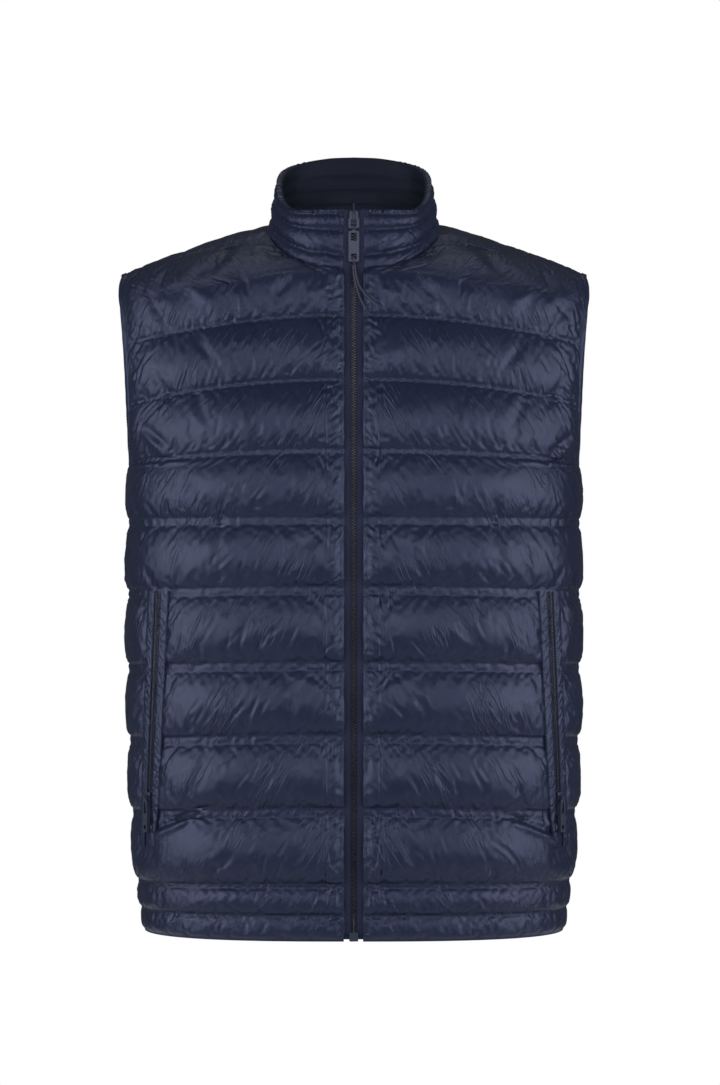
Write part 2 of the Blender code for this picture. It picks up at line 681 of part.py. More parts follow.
def build_panels(parts, shell):
    """Fronts, back and armhole edgings."""
    points, walls = front_panel()
    padded_object("front_left", points, walls, shell, parts)
    padded_object("front_right", mirrored(points), walls[:, ::-1], shell, parts)
    points, walls = back_panel()
    padded_object("back", points, walls, shell, parts, half=True)
    edging = armhole_band()
    outside = edging + normals_of(edging) * BAND_WALL
    wall_object("armhole_band_left", edging, outside, shell, parts)
    wall_object("armhole_band_right", mirrored(edging), mirrored(outside), shell, parts)


def build_collar(parts, shell, lining):
    """The collar and the facing that shows inside it."""
    grid = collar_grid(COLLAR_SEAT, collar_rise())
    padded_object("collar", grid, collar_walls(grid.shape[1]), shell, parts)
    near = collar_grid(COLLAR_SEAT + SEAM_GAP, FACING_RISE)
    ribs = np.array([FACING_RIB * puff_at(rise % COLLAR_CHANNEL / COLLAR_CHANNEL) for rise in FACING_RISE])
    ribs[-1] = 0.0
    far = near - normals_of(near) * (FACING_WALL + ribs)[:, None, None]
    far[:, 0, 0] = EDGE_X
    far[:, -1, 0] = -EDGE_X
    wall_object("collar_facing", near, far, lining, parts)


def build_front_zip(parts, tape, teeth, metal, cutters):
    """Tapes, closed chain, bottom box and the slider at the collar."""
    edge = EDGE_X - SEAM_GAP
    left = zip_strip(TAPE_INNER_X, edge, TAPE_FOOT_Z, ZIP_TOP_Z)
    padded_object("zip_tape_left", left, np.full(left.shape[:2], TAPE_WALL), tape, parts)
    right = mirrored(left)
    padded_object("zip_tape_right", right, np.full(left.shape[:2], TAPE_WALL), tape, parts)
    chain = zip_strip(-CHAIN_HALF_WIDTH, CHAIN_HALF_WIDTH, CHAIN_FOOT_Z, CHAIN_TOP_Z)
    padded_object("zip_chain", chain, np.full(chain.shape[:2], CHAIN_WALL), teeth, parts)

    foot = CHAIN_FOOT_Z - SEAM_GAP - ZIP_BOX_SIZE[2] / 2
    out = float(zip_depth(foot)) - TAPE_WALL - SEAM_GAP - ZIP_BOX_SIZE[1] / 2
    box_object("zip_box", ZIP_BOX_SIZE, (0.0, out, foot), metal, parts, bevel=0.7)

    face = float(zip_depth(SLIDER_Z))
    body = box_object("slider", SLIDER_CORE, (0.0, face - SLIDER_CORE_OUT, SLIDER_Z), metal, parts)
    plates = [box_object("slider_" + word + "_plate", SLIDER_PLATE, (0.0, face + depth, SLIDER_Z), metal, parts, 0.6)
              for word, depth in (("front", -SLIDER_FRONT_OUT), ("back", SLIDER_BACK_IN))]
    rail = smooth_route([(0.0, face - out, up) for out, up in SLIDER_RAIL], 16)
    rail = tube_object("slider_rail", rail, RAIL_RADIUS, metal, parts)
    combine(body, plates + [rail], "UNION", cutters)
    return face


def build_main_pull(parts, metal, cord, cutters, face):
    """The ring link on the slider's rail, the tab that hangs on it, and the knotted cord."""
    axis = (0.0, face - LINK_AXIS_OUT, LINK_AXIS_Z)
    link = plate_object("pull_link", [rounded(*outline) for outline in LINK_OUTLINES], LINK_THICKNESS, metal, parts)
    link.location = Vector(axis) * MM
    hinge = Vector((0.0, axis[1], LINK_AXIS_Z - LINK_DROP))
    hinged_tab("pull_tab", MAIN_TAB, Matrix.Translation(hinge * MM), metal, parts, cutters)

    bar = hinge.z - KNOT_DROP
    ring = [(0.0, axis[1] + KNOT_RADII[0] * math.sin(turn), bar + KNOT_RADII[1] * math.cos(turn))
            for turn in np.linspace(0.0, 2 * math.pi, 17)[:-1]]
    tube_object("cord_knot", ring, CORD_RADIUS, cord, parts, cyclic=True)
    tube_object("cord_tail_long", smooth_route(LONG_TAIL, 18), CORD_RADIUS, cord, parts)
    tube_object("cord_tail_short", smooth_route(SHORT_TAIL, 18), CORD_RADIUS, cord, parts)


def pocket_frame():
    """Foot of the +X pocket's slider on the bed, and the direction out of the cloth there."""
    lift = POCKET_BED + SEAM_GAP
    strip = pocket_strip(-6.0, 6.0, POCKET_SLIDER_Z - 6, POCKET_SLIDER_Z + 6, 0.0, rows=3)
    out = normals_of(strip)[1, 1]
    out[2] = 0.0
    out /= np.linalg.norm(out)
    return Vector(strip[1, 1]) + Vector(out) * lift, Vector(out)


def build_pocket(side, parts, shell, teeth, metal, cutters):
    """One zipped pocket, on the wearer's left or right front."""
    name = "left" if side > 0 else "right"
    lift = POCKET_BED + SEAM_GAP
    inner = POCKET_CHAIN_HALF_WIDTH + SEAM_GAP
    strips = (
        ("pocket_lip_" + name, inner, inner + POCKET_LIP_WIDTH, POCKET_FOOT_Z, POCKET_LIP_WALL, shell),
        ("pocket_edge_" + name, -inner - POCKET_LIP_WIDTH, -inner, POCKET_FOOT_Z, POCKET_LIP_WALL, shell),
        ("pocket_chain_" + name, -POCKET_CHAIN_HALF_WIDTH, POCKET_CHAIN_HALF_WIDTH, POCKET_CHAIN_FOOT_Z,
         POCKET_CHAIN_WALL, teeth),
    )
    for node, low, high, foot, wall, material in strips:
        grid = pocket_strip(low, high, foot, POCKET_TOP_Z, lift)
        if side < 0:
            grid = mirrored(grid)
        padded_object(node, grid, np.full(grid.shape[:2], wall), material, parts)

    foot, out = pocket_frame()
    if side < 0:
        foot.x, out.x = -foot.x, -out.x
    frame = Matrix.Translation(foot * MM) @ Vector((0, -1, 0)).rotation_difference(out).to_matrix().to_4x4()
    middle = (0.0, -POCKET_SLIDER_SIZE[1] / 2, 0.0)
    slider = box_object("pocket_slider_" + name, POCKET_SLIDER_SIZE, middle, metal, parts, bevel=0.5)
    fixed = [box_object("pocket_lug_" + word + "_" + name, POCKET_LUG_SIZE, (x, -POCKET_LUG_OUT, POCKET_HINGE[2]),
                        metal, parts)
             for word, x in (("near", -POCKET_LUG_X), ("far", POCKET_LUG_X))]
    fixed.append(bar_object("pocket_pin_" + name, POCKET_PIN_RADIUS, POCKET_PIN_LENGTH, 12, POCKET_HINGE, metal,
                            parts))
    combine(slider, fixed, "UNION", cutters)
    for piece in [slider] + fixed:
        piece.matrix_world = frame
    hinge = frame @ Matrix.Translation(Vector(POCKET_HINGE) * MM)
    hinged_tab("pocket_pull_" + name, POCKET_TAB, hinge, metal, parts, cutters)


def build():
    """Builds the whole garment."""
    clear_scene()
    parts = bpy.data.collections.new("padded_vest")
    cutters = bpy.data.collections.new("padded_vest_cutters")
    bpy.context.scene.collection.children.link(parts)
    bpy.context.scene.collection.children.link(cutters)
    shell = make_material("shell", SHELL_COLOUR, 0.42)
    lining = make_material("lining", LINING_COLOUR, 0.75)
    tape = make_material("tape", TAPE_COLOUR, 0.6)
    teeth = make_material("teeth", TEETH_COLOUR, 0.45)
    metal = make_material("metal", METAL_COLOUR, 0.35, 0.6)
    cord = make_material("cord", CORD_COLOUR, 0.7)
    build_panels(parts, shell)
    build_collar(parts, shell, lining)
    face = build_front_zip(parts, tape, teeth, metal, cutters)
    build_main_pull(parts, metal, cord, cutters, face)
    for side in (1, -1):
        build_pocket(side, parts, shell, teeth, metal, cutters)


build()
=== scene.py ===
"""Looks of a padded sleeveless jacket that stands in its worn shape with nobody in it.

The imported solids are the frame. Quilted panels and the collar are blown up by a cloth simulation between
their lines of stitching, and the zips, edgings, cords, stitches and finishes are laid on the same cut as
the solids.
Sizes are in millimetres unless a name says otherwise. The front faces -Y and the wearer's left is +X.
"""

import json
import logging
import math
from dataclasses import dataclass, field
from enum import Enum
from typing import NamedTuple

import bmesh
import bpy
import numpy as np
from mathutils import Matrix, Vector

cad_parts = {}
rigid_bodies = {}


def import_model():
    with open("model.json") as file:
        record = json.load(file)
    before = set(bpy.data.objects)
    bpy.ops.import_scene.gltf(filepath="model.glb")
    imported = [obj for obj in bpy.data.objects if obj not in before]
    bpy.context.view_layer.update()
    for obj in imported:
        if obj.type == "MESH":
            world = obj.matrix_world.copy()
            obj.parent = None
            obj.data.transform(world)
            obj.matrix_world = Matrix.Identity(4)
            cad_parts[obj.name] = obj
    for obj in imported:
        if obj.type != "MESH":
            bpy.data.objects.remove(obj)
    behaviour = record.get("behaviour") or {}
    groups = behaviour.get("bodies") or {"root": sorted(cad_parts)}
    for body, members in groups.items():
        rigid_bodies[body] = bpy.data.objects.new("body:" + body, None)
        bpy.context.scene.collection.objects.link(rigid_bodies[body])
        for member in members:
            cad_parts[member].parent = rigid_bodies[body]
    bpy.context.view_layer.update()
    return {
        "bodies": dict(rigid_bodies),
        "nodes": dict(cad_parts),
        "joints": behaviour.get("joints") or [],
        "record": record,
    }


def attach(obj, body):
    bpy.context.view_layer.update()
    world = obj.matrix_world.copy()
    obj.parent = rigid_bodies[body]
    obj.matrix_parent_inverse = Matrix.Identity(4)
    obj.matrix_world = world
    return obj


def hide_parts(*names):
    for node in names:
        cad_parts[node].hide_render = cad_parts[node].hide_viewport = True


LOG = logging.getLogger("padded_vest")

MM = 0.001
PHOTO_HEIGHT = 1085
SEAM_GAP = 0.3
SHOULDER_GAP = 0.8
EDGE_X = 10.0
EDGE_WALL = 2.2
FLIP_X = (-1, 1, 1)
SQUARENESS = 2.4
GARMENT = "garment"


class Slot(Enum):
    """Material slots of the record."""

    SHELL = "shell"
    LINING = "lining"
    TAPE = "tape"
    TEETH = "teeth"
    METAL = "metal"
    CORD = "cord"


class Side(Enum):
    """The wearer's sides, by the sign of X."""

    LEFT = 1
    RIGHT = -1

    @property
    def word(self) -> str:
        """The side's name in node names."""
        return self.name.lower()


class PanelRow(NamedTuple):
    """One row of a panel's inside face, from its inner to its outer edge."""

    station: float
    inner_x: float
    inner_y: float
    inner_z: float
    outer_x: float
    outer_y: float
    outer_z: float
    wrap: float
    sag: float


class CollarStation(NamedTuple):
    """The neckline and the collar's rim above it, at one place round the neck."""

    base_x: float
    base_y: float
    base_z: float
    rim_x: float
    rim_y: float
    rim_z: float


class Crease(NamedTuple):
    """A soft trough or ridge across a front, by its points across and up."""

    points: tuple[tuple[float, float], ...]
    height: float
    width: float


FRONT_ROWS = (
    PanelRow(-699, 10.0, -112.0, -699, 207.5, 15.0, -700, 1.00, 2.0),
    PanelRow(-645, 10.0, -116.0, -645, 213.5, 15.0, -650, 1.00, 2.0),
    PanelRow(-560, 10.0, -119.0, -560, 219.5, 15.0, -569, 1.00, 2.0),
    PanelRow(-450, 10.0, -121.0, -450, 222.5, 15.0, -456, 1.00, 2.0),
    PanelRow(-340, 10.0, -122.0, -340, 223.0, 15.0, -345, 1.00, 2.0),
    PanelRow(-238, 10.0, -119.5, -238, 222.5, 15.0, -244, 1.00, 2.0),
    PanelRow(-231, 10.0, -119.0, -231, 222.3, 3.0, -240, 1.00, 2.0),
    PanelRow(-215, 10.0, -117.5, -215, 222.4, -13.0, -227, 0.99, 2.0),
    PanelRow(-192, 10.0, -114.0, -192, 222.9, -25.0, -207, 0.975, 2.0),
    PanelRow(-157, 10.0, -107.5, -157, 224.0, -34.0, -179, 0.95, 2.0),
    PanelRow(-94, 10.0, -95.5, -94, 227.5, -34.0, -119, 0.92, 1.8),
    PanelRow(-70, 10.0, -90.5, -70, 229.5, -31.0, -97, 0.90, 1.6),
    PanelRow(-52, 10.0, -87.0, -52, 231.0, -27.5, -82, 0.89, 1.5),
    PanelRow(-30, 40.0, -79.5, -47, 232.5, -23.0, -71, 0.89, 1.35),
    PanelRow(-5, 64.0, -58.0, -35, 233.0, -17.5, -62, 0.90, 1.25),
    PanelRow(20, 77.0, -38.0, -22, 232.5, -12.0, -55, 0.92, 1.2),
    PanelRow(45, 83.0, -25.0, -13, 231.0, -7.0, -51, 0.94, 1.15),
)

BACK_ROWS = (
    PanelRow(-699, 0.0, 108.0, -700, 207.5, 15.3, -700, 1.00, 2.0),
    PanelRow(-645, 0.0, 108.0, -650, 213.5, 15.3, -650, 1.00, 2.0),
    PanelRow(-560, 0.0, 107.0, -568, 219.5, 15.3, -569, 1.00, 2.0),
    PanelRow(-450, 0.0, 106.0, -455, 222.5, 15.3, -456, 1.00, 2.0),
    PanelRow(-340, 0.0, 112.0, -343, 223.0, 15.3, -345, 1.00, 2.0),
    PanelRow(-238, 0.0, 122.0, -240, 222.5, 15.3, -244, 1.00, 2.0),
    PanelRow(-231, 0.0, 123.0, -234, 222.3, 29.0, -240, 1.00, 2.0),
    PanelRow(-215, 0.0, 125.0, -219, 222.4, 42.0, -227, 0.99, 2.0),
    PanelRow(-192, 0.0, 127.0, -198, 222.9, 50.0, -207, 0.975, 2.0),
    PanelRow(-157, 0.0, 128.0, -166, 223.5, 56.0, -179, 0.95, 2.0),
    PanelRow(-94, 0.0, 122.0, -103, 226.5, 55.0, -119, 0.92, 1.8),
    PanelRow(-70, 0.0, 116.0, -74, 228.5, 49.0, -97, 0.90, 1.6),
    PanelRow(-52, 0.0, 104.0, -42, 230.0, 42.0, -82, 0.89, 1.5),
    PanelRow(-30, 0.0, 67.0, 13, 231.5, 34.0, -68, 0.89, 1.3),
    PanelRow(-5, 44.0, 55.0, 10, 232.5, 22.0, -56, 0.90, 1.2),
    PanelRow(20, 80.0, 12.0, -1, 233.0, 8.0, -48, 0.93, 1.1),
    PanelRow(45, 83.0, -24.2, -13, 231.0, -6.2, -51, 0.94, 1.15),
)

COLLAR_STATIONS = (
    CollarStation(10.0, -87.0, -52.0, 10.0, -86.0, 11.0),
    CollarStation(40.0, -79.5, -47.0, 37.0, -81.0, 11.0),
    CollarStation(64.0, -58.0, -35.0, 58.0, -69.0, 12.0),
    CollarStation(77.0, -38.0, -22.0, 71.0, -46.0, 20.5),
    CollarStation(83.0, -25.0, -13.0, 76.0, -24.0, 34.0),
    CollarStation(84.0, -5.0, -4.0, 77.0, -3.0, 46.0),
    CollarStation(79.0, 18.0, 2.0, 74.5, 18.0, 56.5),
    CollarStation(66.0, 40.0, 7.0, 64.0, 42.0, 67.0),
    CollarStation(44.0, 55.0, 10.5, 43.0, 61.0, 74.5),
    CollarStation(22.0, 64.0, 12.5, 22.0, 70.5, 78.0),
    CollarStation(0.0, 67.0, 13.0, 0.0, 73.0, 79.0),
)

QUILT_LINES = (-674.0, -645.0, -574.0, -503.0, -433.0, -360.0, -293.0, -226.0, -157.0, -94.0)
HEM_STATION = -699.0
WIDEST_STATION = -340.0
NECK_STATION = -52.0
BACK_NECK_STATION = -30.0
SHOULDER_STATION = 45.0
SEAM_SHARE = 0.4
SEAM_UP = (0.0, -0.3, 0.954)
UNDERARM_Z = -244.0

# Main creases of a front, placed one by one.
CREASES = (
    Crease(((84, -4), (110, -15), (128, -24), (138, -40), (148, -50), (160, -56), (168, -66)), -3.2, 6.0),
    Crease(((190, -116), (200, -96), (212, -76)), -2.4, 5.0),
    Crease(((146, -94), (160, -78), (177, -62)), 2.2, 7.0),
    Crease(((146, -146), (158, -130), (163, -116)), -2.2, 5.0),
    Crease(((188, -182), (200, -166), (207, -152)), -2.4, 5.0),
    Crease(((150, -208), (158, -192), (166, -174)), -1.9, 5.0),
    Crease(((188, -240), (200, -228), (214, -216)), 2.2, 4.0),
    Crease(((190, -230), (203, -219), (215, -207)), -2.4, 4.0),
    Crease(((70, -64), (82, -78), (89, -92)), -2.2, 5.0),
    Crease(((134, -272), (139, -306), (141, -344)), -1.9, 5.0),
    Crease(((40, -312), (58, -326), (72, -346)), -1.6, 6.0),
    Crease(((96, -384), (110, -398), (118, -416)), -1.7, 6.0),
    Crease(((126, -622), (138, -634), (149, -638)), -1.9, 5.0),
    Crease(((52, -454), (66, -470), (74, -492)), -1.6, 6.0),
    Crease(((150, -524), (158, -542), (162, -562)), -1.8, 6.0),
    Crease(((34, -592), (52, -606), (62, -628)), -1.6, 6.0),
    Crease(((146, -577), (166, -584), (185, -593), (202, -601), (218, -592)), -3.0, 2.8),
    Crease(((146, -583), (166, -591), (185, -600), (202, -608), (218, -599)), 3.0, 3.2),
)

LONG_TAIL = (
    (1.0, -94.2, -44.4), (2.2, -97.4, -54.0), (4.6, -98.6, -63.0),
    (9.6, -101.2, -71.5), (16.4, -104.6, -79.0), (23.6, -107.2, -85.6),
)
SHORT_TAIL = (
    (-1.0, -94.2, -44.4), (0.2, -97.2, -55.0), (2.4, -98.4, -65.0),
    (5.4, -100.6, -75.0), (8.8, -104.0, -83.0), (11.6, -106.0, -89.0),
)

# Slanting creases in each channel from the hem up, and the way that they lean in degrees.
FRONT_CHANNEL_CREASES = (6, 8, 16, 20, 20, 20, 20, 18, 12, 9, 8)
BACK_CHANNEL_CREASES = (6, 8, 14, 16, 16, 16, 16, 16, 14, 12, 14)
CREASE_LEAN = 118.0

# Long upright folds beside the zip: the height of each one's foot, and its length.
PLACKET_FOLDS = ((-664.0, 70.0), (-590.0, 120.0), (-452.0, 90.0), (-340.0, 66.0), (-262.0, 84.0))


def smooth_values(keys: np.ndarray, values: np.ndarray, at: np.ndarray) -> np.ndarray:
    """Reads a table on a smooth curve that never overshoots the table's own values.

    Args:
        keys: Rising places of the table's values.
        values: The table's values.
        at: Places to read.

    Returns:
        One value for each place.
    """
    keys = np.asarray(keys, float)
    values = np.asarray(values, float)
    at = np.asarray(at, float)
    steps = np.diff(keys)
    slopes = np.diff(values) / steps
    rates = np.zeros_like(values)
    same_way = slopes[:-1] * slopes[1:] > 0
    before = 2 * steps[1:] + steps[:-1]
    after = steps[1:] + 2 * steps[:-1]
    safe_low = np.where(same_way, slopes[:-1], 1.0)
    safe_high = np.where(same_way, slopes[1:], 1.0)
    rates[1:-1] = np.where(same_way, (before + after) / (before / safe_low + after / safe_high), 0.0)
    rates[0] = slopes[0]
    rates[-1] = slopes[-1]
    span = np.clip(np.searchsorted(keys, at, side="right") - 1, 0, len(keys) - 2)
    part = (at - keys[span]) / steps[span]
    rest = 1 - part
    low = values[span] * (1 + 2 * part) * rest ** 2 + rates[span] * steps[span] * part * rest ** 2
    return (low + values[span + 1] * (3 - 2 * part) * part ** 2
            - rates[span + 1] * steps[span] * part ** 2 * rest)


def ease(value: np.ndarray) -> np.ndarray:
    """Goes from 0 to 1 with level ends."""
    value = np.clip(value, 0.0, 1.0)
    return value * value * (3 - 2 * value)


def run_of(curve: np.ndarray) -> np.ndarray:
    """Distance along a curve at each of its points."""
    return np.concatenate([[0.0], np.cumsum(np.linalg.norm(np.diff(curve, axis=0), axis=1))])


def points_at(curve: np.ndarray, distances: np.ndarray) -> np.ndarray:
    """Points of a curve at distances along it."""
    run = run_of(curve)
    return np.stack([np.interp(distances, run, curve[:, axis]) for axis in range(3)], axis=1)


def smooth_route(points: tuple, count: int) -> np.ndarray:
    """Evenly spaced points on a smooth curve through a few."""
    points = np.asarray(points, float)
    keys = run_of(points)
    at = np.linspace(0.0, keys[-1], count)
    return np.stack([smooth_values(keys, points[:, axis], at) for axis in range(3)], axis=1)


def normals_of(grid: np.ndarray) -> np.ndarray:
    """Unit normals of a grid of points, by its rows and columns."""
    normals = np.cross(np.gradient(grid, axis=1), np.gradient(grid, axis=0))
    return normals / np.maximum(np.linalg.norm(normals, axis=2, keepdims=True), 1e-9)


def mirrored(grid: np.ndarray) -> np.ndarray:
    """The same grid on the other side of the centre line, running the other way."""
    return grid[:, ::-1] * FLIP_X


def wander(seed: int, count: int, spacing: float) -> np.ndarray:
    """A smooth random line between about -1 and 1.

    Args:
        seed: Seed of the line.
        count: Number of values.
        spacing: Values between one swing and the next.

    Returns:
        The line's values.
    """
    random = np.random.default_rng(seed)
    knots = random.uniform(-1, 1, int(count / spacing) + 3)
    keys = np.arange(len(knots)) * spacing
    return smooth_values(keys, knots, np.arange(count) + random.uniform(0, spacing))


def neckline(share: float) -> list[float]:
    """Point of the neckline at a share of the way from the front edge to the centre of the back."""
    keys = np.linspace(0.0, 1.0, len(COLLAR_STATIONS))
    return [float(smooth_values(keys, [getattr(row, name) for row in COLLAR_STATIONS], share))
            for name in ("base_x", "base_y", "base_z")]


def on_side(side: Side, inside: np.ndarray, outside: np.ndarray,
            flat: np.ndarray) -> tuple[np.ndarray, np.ndarray, np.ndarray]:
    """Points of a +X strip and its places on the flat cloth, for one side of the garment.

    Args:
        side: The side.
        inside: Points of the inside face.
        outside: Points of the outside face.
        flat: Places on the flat cloth.

    Returns:
        The three grids on that side.
    """
    if side is Side.RIGHT:
        return mirrored(inside), mirrored(outside), flat[:, ::-1]
    return inside, outside, flat


def grid_index(shape: tuple[int, int]) -> np.ndarray:
    """Point numbers of a grid, row by row."""
    return np.arange(shape[0] * shape[1]).reshape(shape)


def grid_rim(shape: tuple[int, int]) -> np.ndarray:
    """Which points of a grid are on its rim."""
    rim = np.zeros(shape, bool)
    rim[[0, -1]] = True
    rim[:, [0, -1]] = True
    return rim


def grid_quads(index: np.ndarray) -> np.ndarray:
    """Four corners of each face of a grid of point numbers."""
    corners = (index[:-1, :-1], index[:-1, 1:], index[1:, 1:], index[1:, :-1])
    return np.stack([corner.ravel() for corner in corners], axis=1)


@dataclass(frozen=True)
class PanelCut:
    """The cut of a panel's inside face, on the +X side."""

    rows: tuple[PanelRow, ...]
    neck_station: float
    is_back: bool
    band_start: float = 2.6
    band_width: float = 7.0
    band_rise: float = 14.0

    def neck_share(self, station: float) -> float:
        """Share of the neckline at which a row above the neck starts."""
        part = (station - self.neck_station) / (SHOULDER_STATION - self.neck_station)
        return 1 - (1 - SEAM_SHARE) * part if self.is_back else SEAM_SHARE * part

    def row_at(self, station: float) -> PanelRow:
        """One row of the cut at any station, starting at the neckline where that is its edge."""
        keys = [row.station for row in self.rows]
        columns = {name: float(smooth_values(keys, [getattr(row, name) for row in self.rows], station))
                   for name in PanelRow._fields if name != "station"}
        if station > self.neck_station:
            columns["inner_x"], columns["inner_y"], columns["inner_z"] = neckline(self.neck_share(station))
            if self.is_back:
                part = (station - self.neck_station) / (SHOULDER_STATION - self.neck_station)
                columns["inner_y"] += SHOULDER_GAP * part
        return PanelRow(station=station, **columns)

    def curve(self, station: float, samples: int = 160) -> np.ndarray:
        """Close points along one row, from the inner to the outer edge."""
        row = self.row_at(station)
        turn = math.asin(min(row.wrap, 1.0) ** (SQUARENESS / 2))
        angle = np.linspace(0.0, turn, samples)
        across = np.sin(angle) ** (2 / SQUARENESS) / row.wrap
        whole = 1 - math.cos(turn) ** (2 / SQUARENESS) if turn < 1.57 else 1
        deep = (1 - np.cos(angle) ** (2 / SQUARENESS)) / whole
        return np.stack([
            row.inner_x + (row.outer_x - row.inner_x) * across,
            row.inner_y + (row.outer_y - row.inner_y) * deep,
            row.inner_z + (row.outer_z - row.inner_z) * across ** row.sag,
        ], axis=1)

    def edging_width(self, curve: np.ndarray) -> float:
        """Width that the armhole edging takes from a row's outer end."""
        rise = curve[-1, 2] - UNDERARM_Z
        if rise < -0.5:
            return 0.0
        return self.band_start + (self.band_width - self.band_start) * float(ease(rise / self.band_rise))


FRONT_CUT = PanelCut(FRONT_ROWS, NECK_STATION, False)
BACK_CUT = PanelCut(BACK_ROWS, BACK_NECK_STATION, True)


@dataclass(frozen=True)
class PocketLine:
    """The slanting line of the +X pocket on the front's inside face."""

    top_z: float = -364.0
    foot_z: float = -612.0
    chain_foot_z: float = -556.0
    bed: float = 4.0
    half_bed: float = 17.0

    def across(self, height: float) -> float:
        """Place of the line across the front, at a height."""
        return float(np.interp(height, (-602.0, -567.0, -370.0), (199.5, 196.5, 188.0)))

    def strip(self, low: float, high: float, foot: float, top: float, rows: int, columns: int) -> np.ndarray:
        """Points of a strip beside the line, on the pocket's bed.

        Args:
            low: Near edge, from the line.
            high: Far edge, from the line.
            foot: Height of the lower end.
            top: Height of the upper end.
            rows: Rows of points.
            columns: Points in a row.

        Returns:
            A grid of points just clear of the bed.
        """
        strip = []
        for height in np.linspace(foot, top, rows):
            curve = FRONT_CUT.curve(height + 6.0)
            middle = float(np.interp(self.across(height), curve[:, 0], run_of(curve)))
            strip.append(points_at(curve, np.linspace(middle + low, middle + high, columns)))
        strip = np.array(strip)
        return strip + normals_of(strip) * (self.bed + SEAM_GAP)


POCKET = PocketLine()


